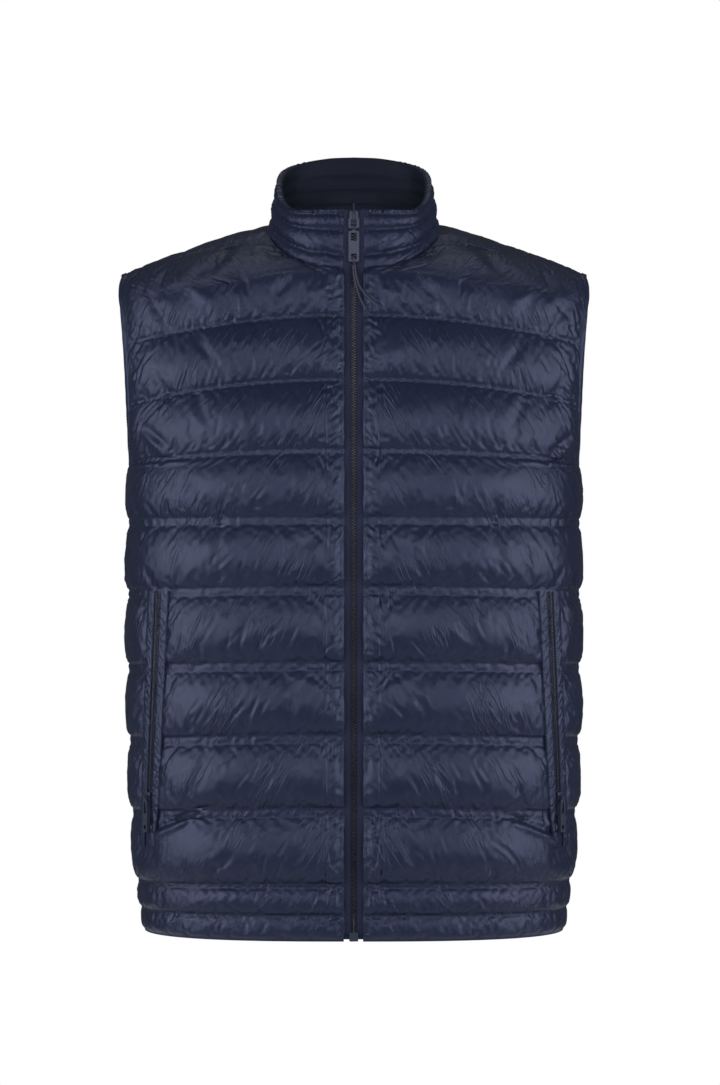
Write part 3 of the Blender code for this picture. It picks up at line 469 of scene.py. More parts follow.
@dataclass(frozen=True)
class Effects:
    """Shader node groups that several finishes share."""

    def group(self, name: str, inputs: dict[str, float], outputs: tuple[str, ...]) -> bpy.types.NodeTree:
        """Starts a node group with float sockets.

        Args:
            name: The group's name.
            inputs: Names and default values of its inputs.
            outputs: Names of its outputs.

        Returns:
            The empty group, with its input and output nodes in place.
        """
        tree = bpy.data.node_groups.new(name, "ShaderNodeTree")
        for socket, value in inputs.items():
            made = tree.interface.new_socket(name=socket, in_out="INPUT", socket_type="NodeSocketFloat")
            made.default_value = value
        for socket in outputs:
            tree.interface.new_socket(name=socket, in_out="OUTPUT", socket_type="NodeSocketFloat")
        tree.nodes.new("NodeGroupInput")
        tree.nodes.new("NodeGroupOutput")
        return tree

    def math_node(self, tree: bpy.types.NodeTree, operation: str, first: object, second: object) -> object:
        """Adds a Math node.

        Args:
            tree: The tree that gets it.
            operation: The node's operation.
            first: A socket or a number.
            second: A socket or a number.

        Returns:
            The node's output socket.
        """
        node = tree.nodes.new("ShaderNodeMath")
        node.operation = operation
        for place, value in enumerate((first, second)):
            if isinstance(value, (int, float)):
                node.inputs[place].default_value = value
            else:
                tree.links.new(value, node.inputs[place])
        return node.outputs[0]

    def weave(self) -> bpy.types.NodeTree:
        """A plain weave on the cloth's own UV map, whose units are metres."""
        tree = self.group("plain_weave", {"Threads per metre": 2200.0}, ("Height",))
        source = tree.nodes["Group Input"].outputs[0]
        split = tree.nodes.new("ShaderNodeSeparateXYZ")
        tree.links.new(tree.nodes.new("ShaderNodeUVMap").outputs["UV"], split.inputs[0])
        turns = self.math_node(tree, "MULTIPLY", source, math.pi)
        waves = []
        for axis in ("X", "Y"):
            angle = self.math_node(tree, "MULTIPLY", split.outputs[axis], turns)
            waves.append(self.math_node(tree, "SINE", angle, 0.0))
        crossing = self.math_node(tree, "MULTIPLY", waves[0], waves[1])
        tree.links.new(crossing, tree.nodes["Group Output"].inputs["Height"])
        return tree

    def crinkle(self) -> bpy.types.NodeTree:
        """Small uneven crinkles, drawn out upright, and a slow change of tone, by place."""
        tree = self.group("soft_crinkle", {"Crinkles per metre": 130.0}, ("Height", "Tint"))
        source = tree.nodes["Group Input"].outputs[0]
        drawn = tree.nodes.new("ShaderNodeVectorMath")
        drawn.operation = "MULTIPLY"
        drawn.inputs[1].default_value = (1.0, 1.0, 0.4)
        tree.links.new(tree.nodes.new("ShaderNodeTexCoord").outputs["Object"], drawn.inputs[0])
        place = drawn.outputs[0]
        ends = tree.nodes["Group Output"]
        fine = tree.nodes.new("ShaderNodeTexNoise")
        fine.inputs["Detail"].default_value = 4.0
        fine.inputs["Roughness"].default_value = 0.55
        tree.links.new(place, fine.inputs["Vector"])
        tree.links.new(source, fine.inputs["Scale"])
        slow = tree.nodes.new("ShaderNodeTexNoise")
        slow.inputs["Detail"].default_value = 2.0
        tree.links.new(place, slow.inputs["Vector"])
        tree.links.new(self.math_node(tree, "MULTIPLY", source, 0.12), slow.inputs["Scale"])
        tree.links.new(fine.outputs["Fac"], ends.inputs["Height"])
        tree.links.new(slow.outputs["Fac"], ends.inputs["Tint"])
        return tree

    def slant(self) -> bpy.types.NodeTree:
        """Thin drawn-out creases that run one way over the cloth's UV map, in clusters."""
        tree = self.group("slant_creases", {"Creases per metre": 170.0, "Turn": 0.0}, ("Height",))
        source = tree.nodes["Group Input"]
        flat = tree.nodes.new("ShaderNodeUVMap").outputs["UV"]
        turned = tree.nodes.new("ShaderNodeVectorRotate")
        turned.rotation_type = "Z_AXIS"
        tree.links.new(flat, turned.inputs["Vector"])
        tree.links.new(source.outputs["Turn"], turned.inputs["Angle"])
        drawn = tree.nodes.new("ShaderNodeVectorMath")
        drawn.operation = "MULTIPLY"
        drawn.inputs[1].default_value = (0.17, 1.0, 1.0)
        tree.links.new(turned.outputs["Vector"], drawn.inputs[0])
        lines = tree.nodes.new("ShaderNodeTexNoise")
        lines.inputs["Detail"].default_value = 1.5
        lines.inputs["Distortion"].default_value = 0.35
        tree.links.new(drawn.outputs[0], lines.inputs["Vector"])
        tree.links.new(source.outputs["Creases per metre"], lines.inputs["Scale"])
        middle = self.math_node(tree, "SUBTRACT", lines.outputs["Fac"], 0.5)
        away = self.math_node(tree, "ABSOLUTE", middle, 0.0)
        thin = self.map_node(tree, away, (0.0, 0.075), (1.0, 0.0))
        clusters = tree.nodes.new("ShaderNodeTexNoise")
        clusters.inputs["Scale"].default_value = 22.0
        clusters.inputs["Detail"].default_value = 1.0
        tree.links.new(flat, clusters.inputs["Vector"])
        there = self.map_node(tree, clusters.outputs["Fac"], (0.47, 0.66), (0.03, 1.0))
        height = self.math_node(tree, "MULTIPLY", thin, there)
        tree.links.new(height, tree.nodes["Group Output"].inputs["Height"])
        return tree

    def map_node(self, tree: bpy.types.NodeTree, value: object, old: tuple, new: tuple) -> object:
        """Adds a smooth Map Range node.

        Args:
            tree: The tree that gets it.
            value: The socket that it reads.
            old: Limits of what it reads.
            new: What they become.

        Returns:
            The node's output socket.
        """
        node = tree.nodes.new("ShaderNodeMapRange")
        node.interpolation_type = "SMOOTHSTEP"
        for name, number in zip(("From Min", "From Max", "To Min", "To Max"), (*old, *new)):
            node.inputs[name].default_value = number
        tree.links.new(value, node.inputs["Value"])
        return node.outputs["Result"]

    def wear(self) -> bpy.types.NodeTree:
        """Rubbed specks and fine scratches on small metal parts, by place."""
        tree = self.group("rubbed_metal", {"Marks per metre": 900.0}, ("Mask", "Height"))
        source = tree.nodes["Group Input"].outputs[0]
        place = tree.nodes.new("ShaderNodeTexCoord").outputs["Object"]
        ends = tree.nodes["Group Output"]
        specks = tree.nodes.new("ShaderNodeTexNoise")
        specks.inputs["Detail"].default_value = 5.0
        tree.links.new(place, specks.inputs["Vector"])
        tree.links.new(source, specks.inputs["Scale"])
        ramp = tree.nodes.new("ShaderNodeMapRange")
        ramp.inputs["From Min"].default_value = 0.48
        ramp.inputs["From Max"].default_value = 0.72
        tree.links.new(specks.outputs["Fac"], ramp.inputs["Value"])
        tree.links.new(ramp.outputs["Result"], ends.inputs["Mask"])
        tree.links.new(specks.outputs["Fac"], ends.inputs["Height"])
        return tree


@dataclass
class Workshop:
    """Shared node groups and the materials made with them."""

    effects: Effects = field(default_factory=Effects)
    groups: dict[str, bpy.types.NodeTree] = field(default_factory=dict)
    materials: dict[str, bpy.types.Material] = field(default_factory=dict)

    def prepare(self) -> None:
        """Makes the shared node groups."""
        self.groups = {"weave": self.effects.weave(), "crinkle": self.effects.crinkle(),
                       "slant": self.effects.slant(), "wear": self.effects.wear()}

    def finish(self, finish: "Finish") -> bpy.types.Material:
        """The material of a finish, made on first use."""
        if finish.name not in self.materials:
            self.materials[finish.name] = finish.material(self)
        return self.materials[finish.name]

    def start(self, name: str) -> tuple[bpy.types.Material, bpy.types.NodeTree, bpy.types.Node]:
        """An empty material with its node tree and its shader."""
        made = bpy.data.materials.new(name)
        made.use_nodes = True
        return made, made.node_tree, made.node_tree.nodes["Principled BSDF"]

    def place(self, tree: bpy.types.NodeTree, name: str, *values: float) -> bpy.types.Node:
        """Places a shared group in a material with its own values."""
        node = tree.nodes.new("ShaderNodeGroup")
        node.node_tree = self.groups[name]
        for socket, value in zip(node.inputs, values):
            socket.default_value = value
        return node

    def tone(self, tree: bpy.types.NodeTree, mask: object, low: tuple, high: tuple) -> object:
        """A colour between two, by a mask.

        Args:
            tree: The material's tree.
            mask: Socket from 0 to 1.
            low: Colour at 0.
            high: Colour at 1.

        Returns:
            The colour's socket.
        """
        mix = tree.nodes.new("ShaderNodeMix")
        mix.data_type = "RGBA"
        mix.inputs["A"].default_value = (*low, 1.0)
        mix.inputs["B"].default_value = (*high, 1.0)
        tree.links.new(mask, mix.inputs["Factor"])
        return mix.outputs["Result"]

    def span(self, tree: bpy.types.NodeTree, mask: object, low: float, high: float) -> object:
        """A value between two, by a mask that mostly lies from 0.3 to 0.7."""
        node = tree.nodes.new("ShaderNodeMapRange")
        node.inputs["From Min"].default_value = 0.3
        node.inputs["From Max"].default_value = 0.7
        node.inputs["To Min"].default_value = low
        node.inputs["To Max"].default_value = high
        tree.links.new(mask, node.inputs["Value"])
        return node.outputs["Result"]

    def bump(self, tree: bpy.types.NodeTree, height: object, distance: float, under: object = None) -> object:
        """A bump of a height in metres.

        Args:
            tree: The material's tree.
            height: Socket from about 0 to 1.
            distance: Height of the relief in metres.
            under: Normal that it lies on.

        Returns:
            The normal's socket.
        """
        node = tree.nodes.new("ShaderNodeBump")
        node.inputs["Distance"].default_value = distance
        tree.links.new(height, node.inputs["Height"])
        if under is not None:
            tree.links.new(under, node.inputs["Normal"])
        return node.outputs["Normal"]


@dataclass(frozen=True)
class Finish:
    """A finish by its name, slot and colours."""

    name: str
    slot: Slot
    dark: tuple[float, float, float]
    light: tuple[float, float, float]
    roughness: tuple[float, float]

    def material(self, workshop: Workshop) -> bpy.types.Material:
        """The finish's material."""
        raise NotImplementedError


@dataclass(frozen=True)
class ClothFinish(Finish):
    """Woven cloth, from shiny nylon to matt tape."""

    threads: float = 2200.0
    weave_height: float = 0.00004
    crinkles: float = 130.0
    crinkle_height: float = 0.0006
    specular: float = 0.5
    shine: tuple[float, float, float] = (1.0, 1.0, 1.0)
    slants: tuple[tuple[float, float, float], ...] = ()

    def material(self, workshop: Workshop) -> bpy.types.Material:
        """Tone and gloss that change slowly, a weave and small crinkles."""
        made, tree, shader = workshop.start(self.name)
        weave = workshop.place(tree, "weave", self.threads)
        crinkle = workshop.place(tree, "crinkle", self.crinkles)
        colour = workshop.tone(tree, crinkle.outputs["Tint"], self.dark, self.light)
        tree.links.new(colour, shader.inputs["Base Color"])
        gloss = workshop.span(tree, crinkle.outputs["Tint"], *self.roughness)
        tree.links.new(gloss, shader.inputs["Roughness"])
        relief = workshop.bump(tree, crinkle.outputs["Height"], self.crinkle_height)
        for creases, way, height in self.slants:
            slant = workshop.place(tree, "slant", creases, -math.radians(way))
            relief = workshop.bump(tree, slant.outputs["Height"], height, relief)
        relief = workshop.bump(tree, weave.outputs["Height"], self.weave_height, relief)
        tree.links.new(relief, shader.inputs["Normal"])
        shader.inputs["Specular IOR Level"].default_value = self.specular
        shader.inputs["Specular Tint"].default_value = (*self.shine, 1.0)
        return made


@dataclass(frozen=True)
class HardFinish(Finish):
    """Coated metal or moulded plastic with small rubbed marks."""

    metallic: float = 0.0
    marks: float = 900.0
    mark_height: float = 0.00002

    def material(self, workshop: Workshop) -> bpy.types.Material:
        """Rubbed tone and gloss over a slightly uneven coat."""
        made, tree, shader = workshop.start(self.name)
        wear = workshop.place(tree, "wear", self.marks)
        colour = workshop.tone(tree, wear.outputs["Mask"], self.dark, self.light)
        tree.links.new(colour, shader.inputs["Base Color"])
        gloss = workshop.span(tree, wear.outputs["Height"], *self.roughness)
        tree.links.new(gloss, shader.inputs["Roughness"])
        tree.links.new(workshop.bump(tree, wear.outputs["Height"], self.mark_height), shader.inputs["Normal"])
        shader.inputs["Metallic"].default_value = self.metallic
        return made


BLUE_SHINE = (0.52, 0.58, 0.92)
SHELL = ClothFinish("shell_nylon", Slot.SHELL, (0.013, 0.018, 0.041), (0.018, 0.024, 0.051), (0.24, 0.31),
                    crinkle_height=0.00014, shine=BLUE_SHINE,
                    slants=((120.0, 118.0, 0.00045), (200.0, 100.0, 0.00016)))
LINING = ClothFinish("lining_cloth", Slot.LINING, (0.006, 0.0075, 0.014), (0.010, 0.012, 0.021), (0.5, 0.6),
                     crinkle_height=0.0002, specular=0.35, shine=BLUE_SHINE)
TAPE = ClothFinish("woven_tape", Slot.TAPE, (0.016, 0.020, 0.043), (0.023, 0.029, 0.058), (0.6, 0.72),
                   threads=1500.0, weave_height=0.00012, crinkle_height=0.0002, specular=0.3,
                   shine=BLUE_SHINE)
THREAD = ClothFinish("sewing_thread", Slot.SHELL, (0.019, 0.024, 0.050), (0.028, 0.034, 0.066), (0.45, 0.55),
                     threads=3000.0, crinkle_height=0.0001, shine=BLUE_SHINE)
CORD = ClothFinish("twisted_cord", Slot.CORD, (0.030, 0.036, 0.064), (0.047, 0.055, 0.092), (0.65, 0.8),
                   crinkles=1800.0, crinkle_height=0.0005)
TEETH = HardFinish("zip_teeth", Slot.TEETH, (0.021, 0.019, 0.023), (0.040, 0.036, 0.040), (0.3, 0.42))
METAL = HardFinish("coated_metal", Slot.METAL, (0.046, 0.057, 0.094), (0.069, 0.083, 0.130), (0.34, 0.46),
                   metallic=0.6)


@dataclass
class MeshPiece:
    """A mesh gathered from parts, then made into one piece that rides on a body."""

    name: str
    points: list[np.ndarray] = field(default_factory=list)
    faces: list[list[int]] = field(default_factory=list)
    slots: list[np.ndarray] = field(default_factory=list)
    uvs: list[np.ndarray] = field(default_factory=list)
    count: int = 0

    def add(self, points: np.ndarray, faces: np.ndarray, slot: int = 0, uv: np.ndarray | None = None) -> None:
        """Adds points in millimetres and their faces.

        Args:
            points: Places of the points.
            faces: Point numbers of each face.
            slot: Material slot of the faces.
            uv: Places on the flat cloth, in millimetres.
        """
        self.points.append(points)
        self.faces += (faces + self.count).tolist()
        self.slots.append(np.full(len(faces), slot))
        self.uvs.append(points[:, :2] if uv is None else uv)
        self.count += len(points)

    def wall(self, inside: np.ndarray, outside: np.ndarray, quads: np.ndarray, uv: np.ndarray,
             lining: list[list[int]] | None = None, lining_slot: int = 0) -> None:
        """Adds a closed wall between two sets of matching points.

        Args:
            inside: Points of the inside face.
            outside: Points of the outside face.
            quads: Faces of the outside, seen from outside.
            uv: Places on the flat cloth, in millimetres.
            lining: Faces of the inside, seen from inside, where they are fewer than the outside's.
            lining_slot: Material slot of the inside face.
        """
        count = len(inside)
        edges = np.concatenate([quads[:, [corner, (corner + 1) % 4]] for corner in range(4)])
        _, first, times = np.unique(np.sort(edges, axis=1), axis=0, return_index=True, return_counts=True)
        rim = edges[first[times == 1]]
        rim_faces = np.stack([rim[:, 1], rim[:, 0], rim[:, 0] + count, rim[:, 1] + count], axis=1)
        base = self.count
        self.add(np.concatenate([outside, inside]), np.concatenate([quads, rim_faces]), 0,
                 np.concatenate([uv, uv]))
        backs = quads[:, ::-1].tolist() if lining is None else lining
        self.faces += [[number + count + base for number in face] for face in backs]
        self.slots.append(np.full(len(backs), lining_slot))

    def make(self, finishes: list[bpy.types.Material], body: str = GARMENT,
             nodes: tuple[str, ...] = (), sharp: float = 60.0) -> bpy.types.Object:
        """Ends the piece: its object, materials, body and the nodes that it stands for.

        Args:
            finishes: Materials by slot number.
            body: Body that it rides on.
            nodes: CAD nodes that it replaces.
            sharp: Angle in degrees over which an edge shows.

        Returns:
            The object.
        """
        used = np.unique(np.fromiter((number for face in self.faces for number in face), int))
        order = np.zeros(self.count, int)
        order[used] = np.arange(len(used))
        order = order.tolist()
        points = np.concatenate(self.points)[used] * MM
        data = bpy.data.meshes.new(self.name)
        data.from_pydata(points.tolist(), [], [[order[number] for number in face] for face in self.faces])
        data.polygons.foreach_set("material_index", np.concatenate(self.slots).astype(np.int32))
        corners = np.empty(len(data.loops), np.int32)
        data.loops.foreach_get("vertex_index", corners)
        flat = np.concatenate(self.uvs)[used] * MM
        data.uv_layers.new(name="cloth").data.foreach_set("uv", flat[corners].ravel())
        for material in finishes:
            data.materials.append(material)
        data.update()
        data.shade_smooth()
        data.set_sharp_from_angle(angle=math.radians(sharp))
        made = bpy.data.objects.new(self.name, data)
        bpy.context.scene.collection.objects.link(made)
        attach(made, body)
        if nodes:
            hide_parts(*nodes)
        LOG.info("%s: %d faces", self.name, len(data.polygons))
        return made


@dataclass(frozen=True)
class Stitches:
    """A row of machine stitches in thread."""

    pitch: float = 3.0
    length: float = 2.4
    radius: float = 0.32
    lift: float = 0.16

    def sew(self, piece: MeshPiece, line: np.ndarray, normals: np.ndarray) -> None:
        """Sews along a line that lies on cloth.

        Args:
            piece: The piece that gets the stitches.
            line: Points of the line.
            normals: Normals of the cloth at those points.
        """
        run = run_of(line)
        count = max(int(run[-1] / self.pitch), 2)
        middles = (np.arange(count) + 0.5) * run[-1] / count
        at = [np.stack([np.interp(middles + shift, run, line[:, axis]) for axis in range(3)], axis=1)
              for shift in (-self.length / 2, 0.0, self.length / 2)]
        up = np.stack([np.interp(middles, run, normals[:, axis]) for axis in range(3)], axis=1)
        up /= np.linalg.norm(up, axis=1, keepdims=True)
        along = at[2] - at[0]
        side = np.cross(along, up)
        side /= np.maximum(np.linalg.norm(side, axis=1, keepdims=True), 1e-9)
        ring = [at[1] + up * self.lift + (side * math.cos(turn) + up * math.sin(turn)) * self.radius
                for turn in np.linspace(0.0, 2 * math.pi, 7)[:-1]]
        points = np.stack([at[0], *ring, at[2]], axis=1)
        faces = [[0, step + 1, (step + 1) % 6 + 1] for step in range(6)]
        faces += [[7, (step + 1) % 6 + 1, step + 1] for step in range(6)]
        every = (np.arange(count) * 8)[:, None, None] + np.array(faces)[None]
        piece.add(points.reshape(-1, 3), every.reshape(-1, 3))

    def piece(self, name: str, lines: list[tuple[np.ndarray, np.ndarray]], workshop: Workshop) -> None:
        """Makes one piece of the stitches along several lines.

        Args:
            name: The piece's name.
            lines: Points of each line, with the normals of the cloth there.
            workshop: Holds the materials.
        """
        sewing = MeshPiece(name)
        for line, normals in lines:
            self.sew(sewing, line, normals)
        sewing.make([workshop.finish(THREAD)])


CLOTH_SETTINGS = {
    "quality": 4,
    "mass": 0.3,
    "air_damping": 2.0,
    "tension_stiffness": 15.0,
    "compression_stiffness": 15.0,
    "shear_stiffness": 4.0,
    "bending_stiffness": 0.1,
}


@dataclass(frozen=True)
class Padding:
    """A cloth simulation that blows a sewn panel up between its lines of stitching."""

    pressure: float = 5.0
    growth: float = 0.014
    frames: int = 20
    cap: float = 9.0
    unevenness: float = 0.15
    seed: int = 4

    def inflate(self, points: np.ndarray, normals: np.ndarray, quads: np.ndarray,
                held: np.ndarray) -> np.ndarray:
        """Simulates a panel's outside face.

        Args:
            points: Its points before it is blown up.
            normals: Their normals.
            quads: Its faces.
            held: How firmly the stitching holds each point, from 0 to 1.

        Returns:
            The points after it.
        """
        random = np.random.default_rng(self.seed)
        start = points + normals * (random.normal(0, self.unevenness, len(points)) * (1 - held))[:, None]
        data = bpy.data.meshes.new("padding_trial")
        data.from_pydata((start * MM).tolist(), [], quads.tolist())
        data.update()
        trial = bpy.data.objects.new("padding_trial", data)
        bpy.context.scene.collection.objects.link(trial)
        group = trial.vertex_groups.new(name="held")
        group.add(np.flatnonzero(held > 0.5).tolist(), 1.0, "REPLACE")
        cloth = trial.modifiers.new("padding", "CLOTH")
        settings = cloth.settings
        for name, value in CLOTH_SETTINGS.items():
            setattr(settings, name, value)
        settings.vertex_group_mass = "held"
        settings.pin_stiffness = 1.0
        settings.shrink_min = -self.growth
        settings.use_pressure = True
        settings.uniform_pressure_force = self.pressure
        settings.effector_weights.gravity = 0.0
        cloth.point_cache.frame_start = 1
        cloth.point_cache.frame_end = self.frames
        scene = bpy.context.scene
        for frame in range(1, self.frames + 1):
            scene.frame_set(frame)
        ready = trial.evaluated_get(bpy.context.evaluated_depsgraph_get())
        blown = np.empty(len(points) * 3, np.float32)
        ready.data.vertices.foreach_get("co", blown)
        bpy.data.objects.remove(trial, do_unlink=True)
        bpy.data.meshes.remove(data)
        scene.frame_set(1)
        moved = blown.reshape(-1, 3) / MM - points
        far = np.linalg.norm(moved, axis=1, keepdims=True)
        return points + moved * np.minimum(1.0, self.cap / np.maximum(far, 1e-6))


class Mark(NamedTuple):
    """A short crease on the flat cloth: its foot, its way in degrees, its length and its relief."""

    across: float
    up: float
    way: float
    length: float
    height: float
    width: float
    bend: float


@dataclass
class Creasing:
    """Fine creases and puckers, uneven in length, depth and spacing, from a fixed seed."""

    seed: int
    most_bend: float = 0.006
    marks: list[Mark] = field(default_factory=list)

    def __post_init__(self) -> None:
        """Starts the seeded numbers."""
        self.random = np.random.default_rng(self.seed)

    def scatter(self, count: int, across: tuple, up: tuple, way: tuple, length: tuple, height: tuple,
                width: tuple) -> None:
        """Adds creases at random places, each value between two limits, the way about a middle with a spread.

        Args:
            count: Number of creases.
            across: Limits across the cloth.
            up: Limits up the cloth.
            way: Middle and spread of their ways, in degrees from across.
            length: Limits of their lengths.
            height: Limits of their heights, troughs below 0.
            width: Limits of their half widths.
        """
        pick = self.random.uniform
        for _ in range(count):
            self.marks.append(Mark(pick(*across), pick(*up), self.random.normal(*way), pick(*length),
                                   pick(*height), pick(*width), pick(-self.most_bend, self.most_bend)))

    def line(self, low: float, high: float, spacing: float) -> np.ndarray:
        """Unevenly spaced places along a seam."""
        steps = self.random.uniform(0.35, 1.65, int((high - low) / spacing) + 2) * spacing
        places = low + np.cumsum(steps)
        return places[places < high]

    def shift(self, across: np.ndarray, up: np.ndarray) -> np.ndarray:
        """Height of all the creases at places on the flat cloth.

        Args:
            across: Places across.
            up: Places up.

        Returns:
            How far the cloth stands out at each.
        """
        total = np.zeros(across.shape)
        for mark in self.marks:
            reach = mark.length + 4 * mark.width
            near = (np.abs(across - mark.across) < reach) & (np.abs(up - mark.up) < reach)
            if not near.any():
                continue
            way = math.radians(mark.way)
            right = across[near] - mark.across
            high = up[near] - mark.up
            along = right * math.cos(way) + high * math.sin(way)
            beside = -right * math.sin(way) + high * math.cos(way) - mark.bend * along ** 2
            fade = np.sin(math.pi * np.clip(along / mark.length, 0.0, 1.0)) ** 0.7
            trough = np.exp(-(beside / mark.width) ** 2)
            ridge = np.exp(-((beside - 1.9 * mark.width) / (1.2 * mark.width)) ** 2)
            total[near] += mark.height * fade * (trough - 0.6 * ridge)
        return total


def catmull(values: np.ndarray, at: np.ndarray) -> np.ndarray:
    """Reads rows of values at places between them, on smooth curves.

    Args:
        values: Rows of values.
        at: Row places, whole numbers being the rows themselves.

    Returns:
        The values at those places.
    """
    last = len(values) - 1
    low = np.clip(np.floor(at).astype(int), 0, last - 1)
    part = (at - low).reshape(-1, *([1] * (values.ndim - 1)))
    before, here = values[np.maximum(low - 1, 0)], values[low]
    there, after = values[low + 1], values[np.minimum(low + 2, last)]
    return 0.5 * (2 * here + (there - before) * part + (2 * before - 5 * here + 4 * there - after) * part ** 2
                  + (3 * here - before - 3 * there + after) * part ** 3)


def lining_faces(index: np.ndarray, rim: np.ndarray, step: int) -> list[list[int]]:
    """Large faces over a fine grid of points, which keep every point of its rim.

    Args:
        index: Point numbers of the grid.
        rim: Which of them are on the rim.
        step: Fine faces to the side of a large one.

    Returns:
        Point numbers of each face, seen from the back of the grid.
    """
    rows, columns = (sorted({*range(0, size - 1, step), size - 1}) for size in index.shape)
    faces = []
    for low, high in zip(rows[:-1], rows[1:]):
        for near, far in zip(columns[:-1], columns[1:]):
            up = np.arange(low, high)
            over = np.arange(near, far)
            sides = (([low] * len(over), over), (up, [far] * len(up)), ([high] * len(over), over[::-1] + 1),
                     (up[::-1] + 1, [near] * len(up)))
            face = []
            for line, place in sides:
                points = index[line, place].tolist()
                face += points if rim[line, place].all() else points[:1]
            faces.append(face[::-1])
    return faces


class QuiltRow(NamedTuple):
    """A row of a quilted panel: its station, its share of the padding and whether it is sewn."""

    station: float
    share: float
    sewn: bool


@dataclass(frozen=True)
class Quilting:
    """Rows of a quilted panel: flat sewn strips, and channels between them with filling that has sunk."""

    row_spacing: float
    half_strips: tuple[float, ...] = (0.7, 1.8, 4.0, 4.0, 4.0, 4.0, 3.6, 2.2, 1.4, 1.2)
    roundness: float = 0.7
    full_channel: float = 46.0
    sag: float = 0.68
    hem_strip: float = 1.5
    shoulder_strip: float = 2.5

    def edges(self) -> list[float]:
        """Stations at which strips and channels meet, from the hem up."""
        edges = [HEM_STATION + self.hem_strip]
        for line, half in zip(QUILT_LINES, self.half_strips):
            edges += [line - half, line + half]
        return edges + [SHOULDER_STATION - self.shoulder_strip]

    def rows(self) -> list[QuiltRow]:
        """Every row from the hem up, closer together beside the strips."""
        edges = self.edges()
        rows = [QuiltRow(HEM_STATION, 0.0, True)]
        for place, (low, high) in enumerate(zip(edges[:-1], edges[1:])):
            count = max(int(round((high - low) / self.row_spacing)), 3)
            rows.append(QuiltRow(low, 0.0, True))
            fullness = min(1.0, (high - low) / self.full_channel)
            for even in np.arange(1, count) / count:
                step = 0.55 * even + 0.45 * (1 - math.cos(math.pi * even)) / 2
                sunk = step ** self.sag
                share = fullness * (4 * sunk * (1 - sunk)) ** self.roundness if place % 2 == 0 else 0.0
                rows.append(QuiltRow(low + (high - low) * step, share, False))
        return rows + [QuiltRow(edges[-1], 0.0, True), QuiltRow(SHOULDER_STATION, 0.0, True)]


@dataclass
class PanelFace:
    """One side of a panel as a grid: inside points, walls, held points and places on the flat cloth."""

    inside: np.ndarray
    walls: np.ndarray
    held: np.ndarray
    flat: np.ndarray

    def turned(self) -> "PanelFace":
        """The same face with its columns the other way round."""
        return PanelFace(self.inside[:, ::-1], self.walls[:, ::-1], self.held[:, ::-1], self.flat[:, ::-1])


